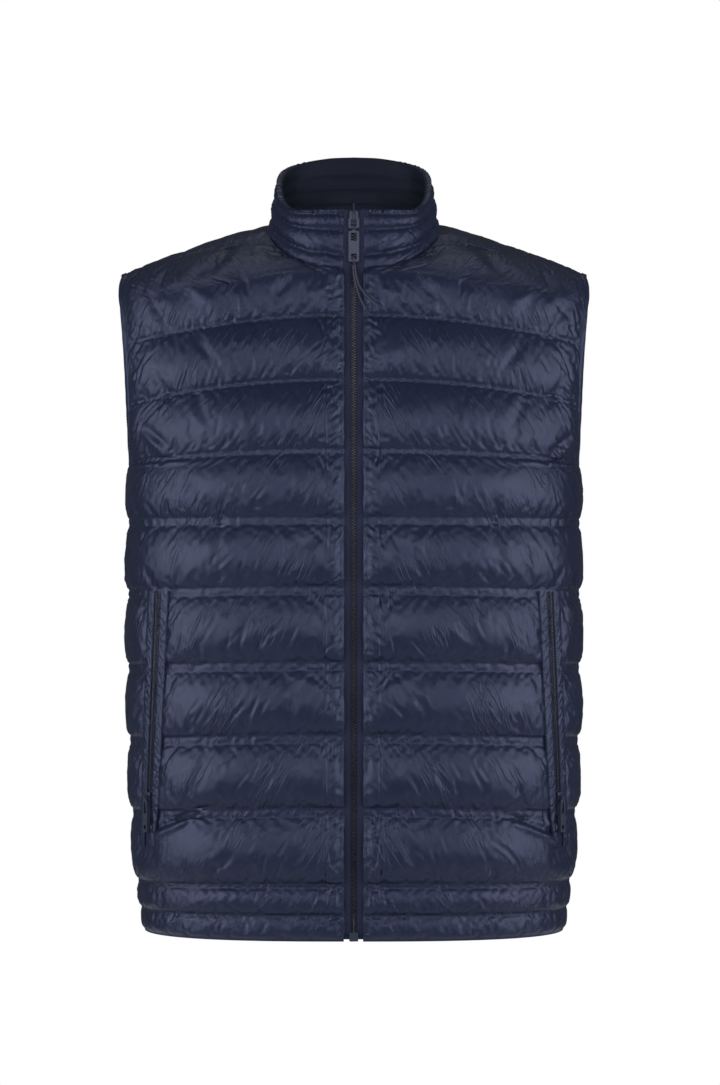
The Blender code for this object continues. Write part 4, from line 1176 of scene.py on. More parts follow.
@dataclass
class QuiltedPanel:
    """A quilted panel: its sizes, its simulated face, its wall and its stitches."""

    cut: PanelCut
    puff: float
    side_puff: float
    trial_spacing: float
    column_shares: np.ndarray
    fine_rows: float
    creasing: Creasing
    padding: Padding = field(default_factory=Padding)
    inner_taper: float = 9.0
    outer_taper: float = 15.0
    start_share: float = 0.86
    fullness: tuple[tuple[float, float], ...] = ((-640.0, 1.25), (-350.0, 1.1), (-160.0, 0.85))
    shoulder_fade: float = 70.0
    seam_reach: float = 0.0
    lining_step: int = 4
    least_loose: float = 0.15
    inner_seam: float = 3.0
    outer_seam: float = 3.5
    seam_start: float = 15.0
    stitches: Stitches = field(default_factory=Stitches)

    def bed(self, curve: np.ndarray, row: np.ndarray, columns: np.ndarray) -> np.ndarray:
        """How far each point of a row belongs to a pocket's flat bed, from 0 to 1."""
        return np.zeros(len(columns))

    def edges(self, station: float, columns: np.ndarray) -> np.ndarray:
        """Share of the padding that a row's two edges leave, from 0 to 1."""
        return ease(columns / self.inner_taper) * ease((columns[-1] - columns) / self.outer_taper)

    def held_columns(self, station: float, columns: np.ndarray) -> np.ndarray:
        """Points of a row that its edge seams hold."""
        return (columns < self.inner_seam) | (columns > columns[-1] - self.outer_seam)

    def width(self) -> float:
        """Length of the widest row."""
        return float(run_of(self.cut.curve(WIDEST_STATION))[-1])

    def trial_shares(self) -> np.ndarray:
        """Places of the simulated grid's columns, as shares of a row."""
        return np.linspace(0.0, 1.0, int(self.width() / self.trial_spacing) + 1)

    def face(self, rows: list[QuiltRow], shares: np.ndarray) -> PanelFace:
        """The +X side of the panel on a grid.

        Args:
            rows: Its rows.
            shares: Places of its columns, as shares of a row.

        Returns:
            The face, from the inner to the outer edge.
        """
        inside, walls, held, flat = [], [], [], []
        for station, share, sewn in rows:
            curve = self.cut.curve(station)
            band = self.cut.edging_width(curve)
            end = run_of(curve)[-1] - (band + SEAM_GAP if band else 0.0)
            columns = end * shares
            row = points_at(curve, columns)
            fullness = np.interp(station, *zip(*self.fullness))
            share *= fullness * ease((SHOULDER_STATION - station) / self.shoulder_fade)
            deep = self.puff + (self.side_puff - self.puff) * shares ** 2
            puff = deep * share * self.edges(station, columns)
            bed = self.bed(curve, row, columns)
            wall = EDGE_WALL + puff * self.start_share
            walls.append(wall + (POCKET.bed - wall) * bed)
            held.append((self.held_columns(station, columns) | sewn | (bed > 0.6)).astype(float))
            rolled = float(ease((station - self.seam_start) / (SHOULDER_STATION - self.seam_start)))
            inside.append(row + (0.0, -self.seam_reach * rolled, 0.0))
            flat.append(np.stack([columns, np.full(len(shares), station)], axis=1))
        return PanelFace(np.array(inside), np.array(walls), np.array(held), np.array(flat))

    def refine(self, moved: np.ndarray, trial: list[QuiltRow], fine: list[QuiltRow],
               places: np.ndarray) -> np.ndarray:
        """Reads the simulated offsets on the fine grid.

        Args:
            moved: Offsets from the inside face on the simulated grid.
            trial: Its rows.
            fine: Rows of the fine grid.
            places: Columns of the fine grid, counted in columns of the simulated one.

        Returns:
            Offsets on the fine grid.
        """
        at = np.interp([row.station for row in fine], [row.station for row in trial], np.arange(len(trial)))
        return catmull(catmull(moved, at).swapaxes(0, 1), places).swapaxes(0, 1)

    def sewn_rows(self, rows: list[QuiltRow]) -> list[int]:
        """Numbers of the rows that carry visible stitching."""
        return [number for number, row in enumerate(rows) if row.sewn and 1 < number < len(rows) - 2]

    def pucker(self, strip_spacing: float, lean: float, counts: tuple[int, ...]) -> None:
        """Marks the cloth with puckers at its strips and slanting creases in its channels.

        Args:
            strip_spacing: Mean distance between puckers along a strip.
            lean: Way of the slanting creases, in degrees.
            counts: Slanting creases in each channel, from the hem up.
        """
        marks = self.creasing
        edges = Quilting(self.fine_rows).edges()
        width = self.width()
        for line in QUILT_LINES[2:]:
            for place in marks.line(4.0, width - 4.0, strip_spacing):
                reach = marks.random.uniform(9, 20)
                marks.scatter(1, (place, place), (line - reach * 0.62, line - reach * 0.3), (90, 13),
                              (reach, reach), (-1.2, -0.35), (0.8, 1.5))
        for count, low, high in zip(counts, edges[0::2], edges[1::2]):
            tall = high - low
            marks.scatter(count, (6.0, width), (low, low + 0.45 * tall), (lean, 9), (0.2 * tall, 0.6 * tall),
                          (-1.5, -0.45), (0.9, 1.8))
            marks.scatter(count // 2, (6.0, width), (low + 0.45 * tall, low + 0.7 * tall), (lean, 9),
                          (0.2 * tall, 0.4 * tall), (-1.3, -0.4), (0.9, 1.6))


@dataclass
class FrontPanel(QuiltedPanel):
    """The quilted fronts: one simulated face for both, and creases of its own for each."""

    placket: float = 16.0
    zip_edge_share: float = 0.5
    roll: float = 0.8
    roll_taper: float = 9.0
    aside: tuple[float, float, float] = (9.0, 0.0, -8.0)
    pucker_spacing: float = 24.0
    pucker_hold: float = 0.4
    crease_hold: float = 0.75
    edge_seed: int = 61
    edge_wave: float = 0.5
    neck_fade: float = 6.0
    bed_margins: tuple[float, float] = (0.5, 12.0)
    bed_fades: tuple[float, float] = (7.0, 9.0)

    def edges(self, station: float, columns: np.ndarray) -> np.ndarray:
        """Share of the padding that a row's two edges leave, from 0 to 1."""
        inner = self.zip_edge_share + (1 - self.zip_edge_share) * ease(columns / self.inner_taper)
        return inner * ease((columns[..., -1:] - columns) / self.outer_taper)

    def bed(self, curve: np.ndarray, row: np.ndarray, columns: np.ndarray) -> np.ndarray:
        """How far each point of a row belongs to the pocket's flat bed, from 0 to 1."""
        heights = row[:, 2]
        run = np.interp(POCKET.across(float(np.interp(0.8 * columns[-1], columns, heights))), curve[:, 0],
                        run_of(curve))
        beside_margin, end_margin = self.bed_margins
        beside_fade, end_fade = self.bed_fades
        beside = ease((POCKET.half_bed + beside_margin - np.abs(columns - run)) / beside_fade)
        middle = (POCKET.top_z + POCKET.foot_z) / 2
        half = (POCKET.top_z - POCKET.foot_z) / 2
        return beside * ease((half + end_margin - np.abs(heights - middle)) / end_fade)

    def crease(self, points: np.ndarray) -> np.ndarray:
        """Height of the main creases, which are placed one by one.

        Args:
            points: Grid of the face's points.

        Returns:
            How far each point stands out.
        """
        flat = points[..., [0, 2]]
        shift = np.zeros(points.shape[:2])
        for crease in CREASES:
            route = np.asarray(crease.points, float)
            lengths = run_of(route)
            near = np.full(points.shape[:2], 1e9)
            along = np.zeros(points.shape[:2])
            for number, (start, end) in enumerate(zip(route[:-1], route[1:])):
                way = end - start
                part = np.clip(((flat - start) @ way) / (way @ way), 0.0, 1.0)
                away = np.linalg.norm(flat - (start + part[..., None] * way), axis=2)
                closer = away < near
                near = np.where(closer, away, near)
                along = np.where(closer, (lengths[number] + part * np.linalg.norm(way)) / lengths[-1], along)
            fade = np.sin(np.pi * np.clip(along * 0.84 + 0.08, 0, 1))
            shift += crease.height * np.exp(-(near / crease.width) ** 2) * fade
        return shift

    def edge_puckers(self) -> None:
        """Marks the puckers that fan out beside the zip, and those at the armhole."""
        marks = self.creasing
        for line in QUILT_LINES[1:]:
            for place in marks.line(1.0, 28.0, 6.5):
                reach = marks.random.uniform(10, 28)
                marks.scatter(1, (place, place), (line - reach, line - reach), (92, 12), (reach, reach),
                              (-1.3, -0.5), (0.8, 1.3))
        for place in marks.line(HEM_STATION + 6, NECK_STATION - 4, 8.0):
            marks.scatter(1, (0.5, 3.0), (place, place), (-38, 14), (8, 22), (-1.2, -0.4), (0.8, 1.2))
        for foot, length in PLACKET_FOLDS:
            way = 90.0 + marks.random.normal(0, 1.5)
            marks.marks.append(Mark(self.placket, foot, way, length, height=-1.0, width=1.1, bend=0.0))
        marks.scatter(26, (205.0, 245.0), (-250.0, -60.0), (128, 12), (14, 38), (-1.7, -0.6), (1.4, 2.6))

    def creased(self, face: PanelFace, outside: np.ndarray, side: Side) -> np.ndarray:
        """One front's outside with creases of its own.

        Args:
            face: Its face.
            outside: Its outside before creasing.
            side: Which front it is.

        Returns:
            The creased outside, on the +X side.
        """
        self.creasing = Creasing(self.creasing.seed + 1)
        self.pucker(self.pucker_spacing, CREASE_LEAN, FRONT_CHANNEL_CREASES)
        self.edge_puckers()
        loose = self.edges(0.0, face.flat[..., 0]) * (1 - face.held * self.pucker_hold)
        shift = self.creasing.shift(face.flat[..., 0], face.flat[..., 1])
        aside = np.array(self.aside) * (side is Side.RIGHT)
        shift += self.crease(outside + aside) * (1 - self.crease_hold * face.held)
        shift *= np.maximum(loose, self.least_loose)
        creased = outside + normals_of(outside) * shift[..., None]
        uneven = wander(self.edge_seed + side.value, len(creased), 3.0) * self.edge_wave
        rolled = (1 - ease(face.flat[..., 0] / self.roll_taper)) * (self.roll + uneven)[:, None]
        creased[..., 0] -= rolled * ease((NECK_STATION - face.flat[..., 1]) / self.neck_fade)
        creased[-1] = face.inside[-1] + np.array(SEAM_UP) * EDGE_WALL
        return creased

    def build(self, workshop: Workshop) -> None:
        """Makes both fronts and their stitches."""
        trial_rows, rows = Quilting(self.trial_spacing).rows(), Quilting(self.fine_rows).rows()
        trial = self.face(trial_rows, self.trial_shares())
        normals = normals_of(trial.inside)
        start = trial.inside + normals * trial.walls[..., None]
        shape = start.shape[:2]
        quads = grid_quads(grid_index(shape))
        blown = self.padding.inflate(start.reshape(-1, 3), normals.reshape(-1, 3), quads, trial.held.ravel())
        face = self.face(rows, self.column_shares)
        size = face.inside.shape[:2]
        moved = blown.reshape(*shape, 3) - trial.inside
        outside = face.inside + self.refine(moved, trial_rows, rows, self.column_shares * (shape[1] - 1))
        index = grid_index(size)
        lining = lining_faces(index, grid_rim(size), self.lining_step)
        finishes = [workshop.finish(SHELL), workshop.finish(LINING)]
        for side in Side:
            inner, outer, place = on_side(side, face.inside, self.creased(face, outside, side), face.flat)
            piece = MeshPiece("front_" + side.word + "_padded")
            piece.wall(inner.reshape(-1, 3), outer.reshape(-1, 3), grid_quads(index), place.reshape(-1, 2),
                       lining, 1)
            made = piece.make(finishes, nodes=("front_" + side.word,))
            upright = normals_of(outer)
            edge = 3 if side is Side.LEFT else size[1] - 4
            lines = [(outer[row], upright[row]) for row in self.sewn_rows(rows)]
            lines.append((outer[:, edge], upright[:, edge]))
            self.stitches.piece("front_" + side.word + "_stitches", lines, workshop)


@dataclass
class BackPanel(QuiltedPanel):
    """The quilted back, whose halves share the centre line below the neck."""

    pucker_spacing: float = 19.0
    pucker_hold: float = 0.5
    neck_seam: float = 3.5
    neck_margin: float = 6.0

    def edges(self, station: float, columns: np.ndarray) -> np.ndarray:
        """Share of the padding that the neckline and the outer edge leave, from 0 to 1."""
        free = 1 - float(ease((station - NECK_STATION) / (BACK_NECK_STATION - NECK_STATION)))
        inner = np.maximum(ease(columns / self.inner_taper), free)
        return inner * ease((columns[-1] - columns) / self.outer_taper)

    def held_columns(self, station: float, columns: np.ndarray) -> np.ndarray:
        """Points of a row that the neckline and its outer seam hold."""
        at_neck = (columns < self.neck_seam) & (station > BACK_NECK_STATION - self.neck_margin)
        return at_neck | (columns > columns[-1] - self.outer_seam)

    def halves(self, face: PanelFace) -> tuple[np.ndarray, np.ndarray, np.ndarray]:
        """Point numbers of both halves, joined at the centre line.

        Args:
            face: The +X half, from the side to the centre line.

        Returns:
            The grid of each half and which rows end on the centre line.
        """
        shape = face.inside.shape[:2]
        on_line = np.abs(face.inside[:, -1, 0]) < 0.001
        left = grid_index(shape)
        right = left + left.size
        right[on_line, -1] = left[on_line, -1]
        return left, right, on_line

    def blown(self, trial: PanelFace) -> tuple[np.ndarray, np.ndarray]:
        """Simulates the whole back.

        Args:
            trial: The +X half on the simulated grid, from the side to the centre line.

        Returns:
            Outside points of the +X half and of the other one.
        """
        normals = normals_of(trial.inside)
        start = trial.inside + normals * trial.walls[..., None]
        left, right, on_line = self.halves(trial)
        start[on_line, -1, 0] = 0.0
        quads = np.concatenate([grid_quads(left), grid_quads(right[:, ::-1])])
        points, ways = (np.concatenate([grid.reshape(-1, 3), grid.reshape(-1, 3) * FLIP_X])
                        for grid in (start, normals))
        used, order = np.unique(quads, return_inverse=True)
        held = np.concatenate([trial.held.ravel()] * 2)
        blown = points.copy()
        blown[used] = self.padding.inflate(points[used], ways[used], order.reshape(-1, 4), held[used])
        return blown[left], blown[right]

    def outer_halves(self, face: PanelFace, rows: list[QuiltRow]) -> list[np.ndarray]:
        """Outside points of both halves on the fine grid, blown up and creased.

        Args:
            face: The +X half, from the side to the centre line.
            rows: Its rows.

        Returns:
            The +X half and the other one.
        """
        trial_rows = Quilting(self.trial_spacing).rows()
        trial = self.face(trial_rows, self.trial_shares()).turned()
        left, right = self.blown(trial)
        self.pucker(self.pucker_spacing, CREASE_LEAN, BACK_CHANNEL_CREASES)
        shift = self.creasing.shift(face.flat[..., 0], face.flat[..., 1])
        loose = np.stack([self.edges(row.station, line[::-1])[::-1]
                          for row, line in zip(rows, face.flat[..., 0])])
        on_line = self.halves(face)[2]
        outer = []
        for here, there, sign in ((left, right, 1), (right, left, -1)):
            moved = here - trial.inside * (sign, 1, 1)
            beyond = there[:, -2:-4:-1] - trial.inside[:, -2:-4:-1] * (-sign, 1, 1)
            places = (1 - self.column_shares[::-1]) * (moved.shape[1] - 1)
            fine = self.refine(np.concatenate([moved, beyond], axis=1), trial_rows, rows, places)
            half = face.inside * (sign, 1, 1) + fine
            relief = sign * shift * np.maximum(loose, self.least_loose) * (1 - face.held * self.pucker_hold)
            half += normals_of(half) * relief[..., None]
            half[on_line, -1, 0] = 0.0
            half[-1] = face.inside[-1] * (sign, 1, 1) + np.array(SEAM_UP) * EDGE_WALL
            outer.append(half)
        outer[0][on_line, -1] = (outer[0][on_line, -1] + outer[1][on_line, -1]) / 2
        return outer

    def build(self, workshop: Workshop) -> None:
        """Makes the whole back and its stitches."""
        rows = Quilting(self.fine_rows).rows()
        face = self.face(rows, self.column_shares).turned()
        outer = self.outer_halves(face, rows)
        left, right, on_line = self.halves(face)
        rim = grid_rim(left.shape)
        rim[1:-1, -1] = ~on_line[1:-1]
        inside = np.concatenate([face.inside.reshape(-1, 3), face.inside.reshape(-1, 3) * FLIP_X])
        flat = np.concatenate([face.flat.reshape(-1, 2), face.flat.reshape(-1, 2) * (-1, 1)])
        lining = lining_faces(left, rim, self.lining_step)
        lining += lining_faces(right[:, ::-1], rim[:, ::-1], self.lining_step)
        piece = MeshPiece("back_padded")
        piece.wall(inside, np.concatenate([half.reshape(-1, 3) for half in outer]),
                   np.concatenate([grid_quads(left), grid_quads(right[:, ::-1])]), flat, lining, 1)
        made = piece.make([workshop.finish(SHELL), workshop.finish(LINING)], nodes=("back",))
        lines = []
        for half, sign in zip(outer, (1, -1)):
            upright = normals_of(half) * sign
            lines += [(half[row], upright[row]) for row in self.sewn_rows(rows)]
        self.stitches.piece("back_stitches", lines, workshop)


@dataclass
class Collar:
    """The quilted stand collar and the facing inside it."""

    seat: float = 3.8
    puff: float = 4.2
    rim_wall: float = 4.4
    height: float = 64.0
    columns: int = 150
    lines: tuple[float, ...] = (0.0, 0.29, 0.68, 0.93, 1.0)
    half_strip: float = 0.013
    channel_rows: int = 12
    facing_rows: int = 45
    facing_seed: int = 90
    lining_step: int = 3
    start_share: float = 0.8
    end_taper: float = 6.0
    roll: float = 1.2
    roll_taper: float = 9.0
    facing_wall: float = 1.4
    facing_rib: float = 1.5
    facing_lines: tuple[float, ...] = (0.0, 0.3, 0.52, 0.74, 1.0)
    padding: Padding = field(default_factory=lambda: Padding(pressure=3.0, growth=0.008, cap=3.0, seed=9))
    stitches: Stitches = field(default_factory=lambda: Stitches(pitch=2.8, length=2.2))
    creasing: Creasing = field(default_factory=lambda: Creasing(31))

    def grid(self, inward: float, rise: np.ndarray) -> np.ndarray:
        """Inside points of the collar's rows, moved in, from the +X front edge round to the -X one."""
        keys = np.linspace(0.0, 1.0, len(COLLAR_STATIONS))
        at = np.linspace(0.0, 1.0, self.columns)
        half = {name: smooth_values(keys, [getattr(row, name) for row in COLLAR_STATIONS], at)
                for name in CollarStation._fields}
        base = np.stack([half["base_x"], half["base_y"], half["base_z"]], axis=1)
        rim = np.stack([half["rim_x"], half["rim_y"], half["rim_z"]], axis=1)
        grid = base[None] + (rim - base)[None] * np.asarray(rise)[:, None, None]
        around = np.gradient(grid * (1, 1, 0), axis=1)
        outward = np.stack([around[..., 1], -around[..., 0], np.zeros(around.shape[:2])], axis=2)
        outward /= np.linalg.norm(outward, axis=2, keepdims=True)
        outward[:, -1] = (0.0, 1.0, 0.0)
        grid = grid - outward * inward
        grid[:, 0, 0] = EDGE_X
        return np.concatenate([grid, grid[:, -2::-1] * FLIP_X], axis=1)

    def rises(self) -> list[QuiltRow]:
        """Rows by their share of the collar's height."""
        rows = [QuiltRow(0.0, 0.0, True)]
        for low, high in zip(self.lines[:-1], self.lines[1:]):
            first = low + (self.half_strip if low else 0.02)
            last = high - (self.half_strip if high < 1.0 else 0.0)
            rows.append(QuiltRow(first, 0.0, True))
            count = max(int(self.channel_rows * (last - first) / 0.3), 4)
            fullness = min(1.0, (last - first) / 0.25)
            for step in np.arange(1, count) / count:
                share = fullness * (4 * step * (1 - step)) ** 0.6
                rows.append(QuiltRow(first + (last - first) * step, share, False))
            rows.append(QuiltRow(last, 0.0, True))
        return rows

    def pucker(self, width: float) -> None:
        """Marks the small upright puckers at the collar's seams and a few slanting creases."""
        marks = self.creasing
        for line in self.lines:
            for place in marks.line(3.0, width - 3.0, 4.5):
                reach = marks.random.uniform(6, 15)
                foot = line * self.height - reach * marks.random.uniform(0.3, 0.7)
                marks.scatter(1, (place, place), (foot, foot), (90, 10), (reach, reach), (-1.15, -0.3),
                              (0.7, 1.2))
        for start, way in ((14.0, 28.0), (width - 14.0, 152.0)):
            marks.scatter(9, (start - 10, start + 26), (2.0, 26.0), (way, 14), (16, 42), (-0.9, -0.4),
                          (1.3, 2.2))
        marks.scatter(22, (60.0, width - 60.0), (4.0, 44.0), (90, 40), (10, 26), (-0.8, -0.3), (1.2, 2.2))

    def build(self, workshop: Workshop) -> None:
        """Makes the collar, its facing and their stitches."""
        rows = self.rises()
        rise = np.array([row.station for row in rows])
        share = np.array([row.share for row in rows])
        inside = self.grid(self.seat, rise)
        run = run_of(inside[len(rise) // 2])
        ends = ease(np.minimum(run, run[-1] - run) / self.end_taper)
        taper = 0.5 + 0.5 * ends
        wall = EDGE_WALL + self.puff * self.start_share * share[:, None] * taper[None]
        wall[-1] = EDGE_WALL + (self.rim_wall - EDGE_WALL) * taper
        held = np.array([row.sewn for row in rows])[:, None] | (ends < 0.15)[None]
        normals = normals_of(inside)
        start = inside + normals * wall[..., None]
        shape = start.shape[:2]
        index = grid_index(shape)
        quads = grid_quads(index)
        blown = self.padding.inflate(start.reshape(-1, 3), normals.reshape(-1, 3), quads,
                                     held.astype(float).ravel())
        outside = blown.reshape(*shape, 3)
        flat = np.stack(np.broadcast_arrays(run[None], rise[:, None] * self.height), axis=2)
        self.pucker(float(run[-1]))
        shift = self.creasing.shift(flat[..., 0], flat[..., 1]) * taper[None]
        shift[0] = 0.0
        outside = outside + normals_of(outside) * shift[..., None]
        near_start = self.roll * (1 - ease(run / self.roll_taper))
        near_end = self.roll * (1 - ease((run[-1] - run) / self.roll_taper))
        outside[..., 0] -= near_start - near_end
        piece = MeshPiece("collar_padded")
        piece.wall(inside.reshape(-1, 3), outside.reshape(-1, 3), quads, flat.reshape(-1, 2),
                   lining_faces(index, grid_rim(shape), self.lining_step), 1)
        made = piece.make([workshop.finish(SHELL), workshop.finish(LINING)], nodes=("collar",))
        upright = normals_of(outside)
        lines = [(outside[number], upright[number]) for number, row in enumerate(rows)
                 if row.sewn and 1 < number < len(rows) - 1]
        self.stitches.piece("collar_stitches", lines, workshop)
        self.build_facing(workshop)

    def build_facing(self, workshop: Workshop) -> None:
        """Makes the facing with its soft bands."""
        rise = np.linspace(0.0, 1.0, self.facing_rows)
        near = self.grid(self.seat + SEAM_GAP, rise)
        lines = np.asarray(self.facing_lines)
        band = np.clip(np.searchsorted(lines, rise, side="right") - 1, 0, len(lines) - 2)
        step = (rise - lines[band]) / (lines[band + 1] - lines[band])
        ribs = self.facing_rib * np.clip(4 * step * (1 - step), 0, 1) ** 0.45
        uneven = np.array([0.2 * wander(self.facing_seed + number // 6, near.shape[1], 14.0)
                           for number in range(len(rise))])
        depth = self.facing_wall + ribs[:, None] * (1 + uneven)
        far = near - normals_of(near) * depth[..., None]
        far[:, 0, 0] = EDGE_X
        far[:, -1, 0] = -EDGE_X
        shape = near.shape[:2]
        run = run_of(near[len(rise) // 2])
        flat = np.stack(np.broadcast_arrays(run[None], rise[:, None] * self.height), axis=2)
        index = grid_index(shape)[:, ::-1]
        piece = MeshPiece("collar_facing_cloth")
        piece.wall(near.reshape(-1, 3), far.reshape(-1, 3), grid_quads(index), flat.reshape(-1, 2),
                   lining_faces(index, grid_rim(shape), self.lining_step))
        made = piece.make([workshop.finish(LINING)], nodes=("collar_facing",))


@dataclass
class ArmholeEdging:
    """The flat strip that ends each armhole."""

    wall: float = 2.4
    columns: int = 9
    seed: int = 120
    uneven_height: float = 0.28
    stitches: Stitches = field(default_factory=lambda: Stitches(pitch=2.6, length=2.0))

    def strip(self) -> np.ndarray:
        """Inside points of the +X edging, from the underarm up the front and down the back."""
        stations = np.concatenate([
            [-238.0], np.arange(-236.0, -200.0, 2.0), np.arange(-200.0, 44.0, 3.0), [SHOULDER_STATION],
        ])
        edge: list[np.ndarray] = []
        for cut, upward in ((FRONT_CUT, True), (BACK_CUT, False)):
            part = []
            for station in stations:
                curve = cut.curve(station)
                width = max(cut.edging_width(curve), cut.band_start)
                end = run_of(curve)[-1]
                part.append(points_at(curve, np.linspace(end - width, end, self.columns)))
            edge += part if upward else part[-2::-1]
        return np.array(edge)

    def build(self, workshop: Workshop) -> None:
        """Makes both edgings and their stitches."""
        inside = self.strip()
        across = np.linspace(0.0, 1.0, self.columns)
        crown = (4 * across * (1 - across)) ** 0.35
        uneven = np.stack([wander(self.seed + column, len(inside), 3.0) for column in range(self.columns)],
                          axis=1)
        wall = self.wall * (0.55 + 0.5 * crown)[None] + self.uneven_height * uneven * crown[None]
        outside = inside + normals_of(inside) * wall[..., None]
        run = run_of(inside[:, -1])
        flat = np.stack(np.broadcast_arrays(across[None] * FRONT_CUT.band_width, run[:, None]), axis=2)
        quads = grid_quads(grid_index(inside.shape[:2]))
        for side in Side:
            inner, outer, place = on_side(side, inside, outside, flat)
            piece = MeshPiece("armhole_edging_" + side.word)
            piece.wall(inner.reshape(-1, 3), outer.reshape(-1, 3), quads, place.reshape(-1, 2), None, 1)
            made = piece.make([workshop.finish(SHELL), workshop.finish(LINING)],
                              nodes=("armhole_band_" + side.word,))
            upright = normals_of(outer)
            lines = [(outer[:, column], upright[:, column]) for column in (2, self.columns - 3)]
            self.stitches.piece("armhole_stitches_" + side.word, lines, workshop)


@dataclass(frozen=True)
class ZipTeeth:
    """A closed row of interlocked teeth."""

    pitch: float
    length: float
    offset: float
    height: float
    depth: float

    def lay(self, piece: MeshPiece, line: np.ndarray, across: np.ndarray, out: np.ndarray) -> None:
        """Lays teeth along a line, from alternate sides.

        Args:
            piece: The piece that gets the teeth.
            line: Points of the chain's middle, on the tape.
            across: Direction across the chain at those points.
            out: Direction out of the cloth at those points.
        """
        run = run_of(line)
        count = int(run[-1] / self.pitch)
        middles = (np.arange(count) + 0.5) * self.pitch

        def read(values: np.ndarray) -> np.ndarray:
            """Values of the line at each tooth."""
            return np.stack([np.interp(middles, run, values[:, axis]) for axis in range(3)], axis=1)

        place, side, up = read(line), read(across), read(out)
        along = np.cross(up, side)
        along /= np.linalg.norm(along, axis=1, keepdims=True)
        sign = np.where(np.arange(count) % 2 == 0, 1.0, -1.0)[:, None]
        half = self.length / 2
        points = []
        for share, wide in ((-1.0, 0.55), (-0.8, 1.0), (0.62, 1.0), (1.0, 0.6)):
            middle = place + side * sign * (self.offset - half * share)
            for turn in np.linspace(0.0, 2 * math.pi, 7)[:-1]:
                points.append(middle + along * (self.height / 2 * wide * math.cos(turn))
                              + up * (self.depth / 2 * (1 + wide * math.sin(turn))))
        points = np.stack(points, axis=1)
        faces = []
        for first in (0, 6, 12):
            for step in range(6):
                after = (step + 1) % 6
                faces.append([first + step, first + after, first + 6 + after, first + 6 + step])
        ends = [[5, 4, 3, 2], [5, 2, 1, 0], [18, 19, 20, 21], [18, 21, 22, 23]]
        every = (np.arange(count) * 24)[:, None, None] + np.array(faces + ends)[None]
        piece.add(points.reshape(-1, 3), every.reshape(-1, 4))


@dataclass
class FrontZip:
    """Tapes and teeth of the front opening."""

    tape_foot: float = -697.0
    top: float = 9.5
    chain_foot: float = -690.0
    chain_top: float = -6.0
    section: tuple[tuple[float, float, float], ...] = (
        (0.05, 0.0, 0.4), (2.6, 0.0, 0.4), (3.6, 0.0, 1.3), (5.6, 0.0, 1.5),
        (7.8, 0.0, 1.5), (9.7, -0.1, 1.3), (9.9, -0.9, -0.2), (14.5, -0.9, -0.2),
    )
    seed: int = 200
    pucker_height: float = 0.22
    tape_rows: int = 340
    chain_points: int = 200
    teeth: ZipTeeth = field(default_factory=lambda: ZipTeeth(1.3, 3.4, 1.3, 1.1, 2.1))
    stitches: Stitches = field(default_factory=lambda: Stitches(pitch=2.8, length=2.0))

    def depth(self, height: np.ndarray) -> np.ndarray:
        """Inside face of the opening's line at a height."""
        below = [(row.inner_z, row.inner_y) for row in FRONT_ROWS if row.station <= NECK_STATION]
        above = [(-30.0, -85.2), (self.top + 2, -85.6)]
        keys, values = zip(*(below + above))
        return smooth_values(keys, values, height)

    def build(self, workshop: Workshop) -> None:
        """Makes the tapes with their stitches, and the teeth."""
        heights = np.linspace(self.tape_foot, self.top, self.tape_rows)
        across, back, front = np.array(self.section).T
        deep = self.depth(heights)[:, None]
        uneven = np.stack([wander(self.seed + column, len(heights), 2.2) for column in range(len(across))],
                          axis=1)
        puckers = self.pucker_height * uneven * (front > 1.0)
        inside = np.stack(np.broadcast_arrays(across[None], deep - back, heights[:, None]), axis=2)
        outside = np.stack(np.broadcast_arrays(across[None], deep - front - puckers, heights[:, None]),
                           axis=2)
        flat = np.stack(np.broadcast_arrays(across[None], heights[:, None]), axis=2)
        quads = grid_quads(grid_index(inside.shape[:2]))
        for side in Side:
            inner, outer, place = on_side(side, inside, outside, flat)
            piece = MeshPiece("zip_tape_" + side.word + "_woven")
            piece.wall(inner.reshape(-1, 3), outer.reshape(-1, 3), quads, place.reshape(-1, 2))
            made = piece.make([workshop.finish(TAPE)], nodes=("zip_tape_" + side.word,))
            upright = normals_of(outer)
            seam = 3 if side is Side.LEFT else len(across) - 4
            lines = [(outer[:, seam], upright[:, seam])]
            self.stitches.piece("zip_tape_stitches_" + side.word, lines, workshop)
        spots = np.linspace(self.chain_foot, self.chain_top, self.chain_points)
        line = np.stack([np.zeros(self.chain_points), self.depth(spots) - 0.2, spots], axis=1)
        chain = MeshPiece("zip_chain_teeth")
        sideways = np.tile((1.0, 0.0, 0.0), (self.chain_points, 1))
        outward = np.tile((0.0, -1.0, 0.0), (self.chain_points, 1))
        self.teeth.lay(chain, line, sideways, outward)
        chain.make([workshop.finish(TEETH)], nodes=("zip_chain",), sharp=40.0)


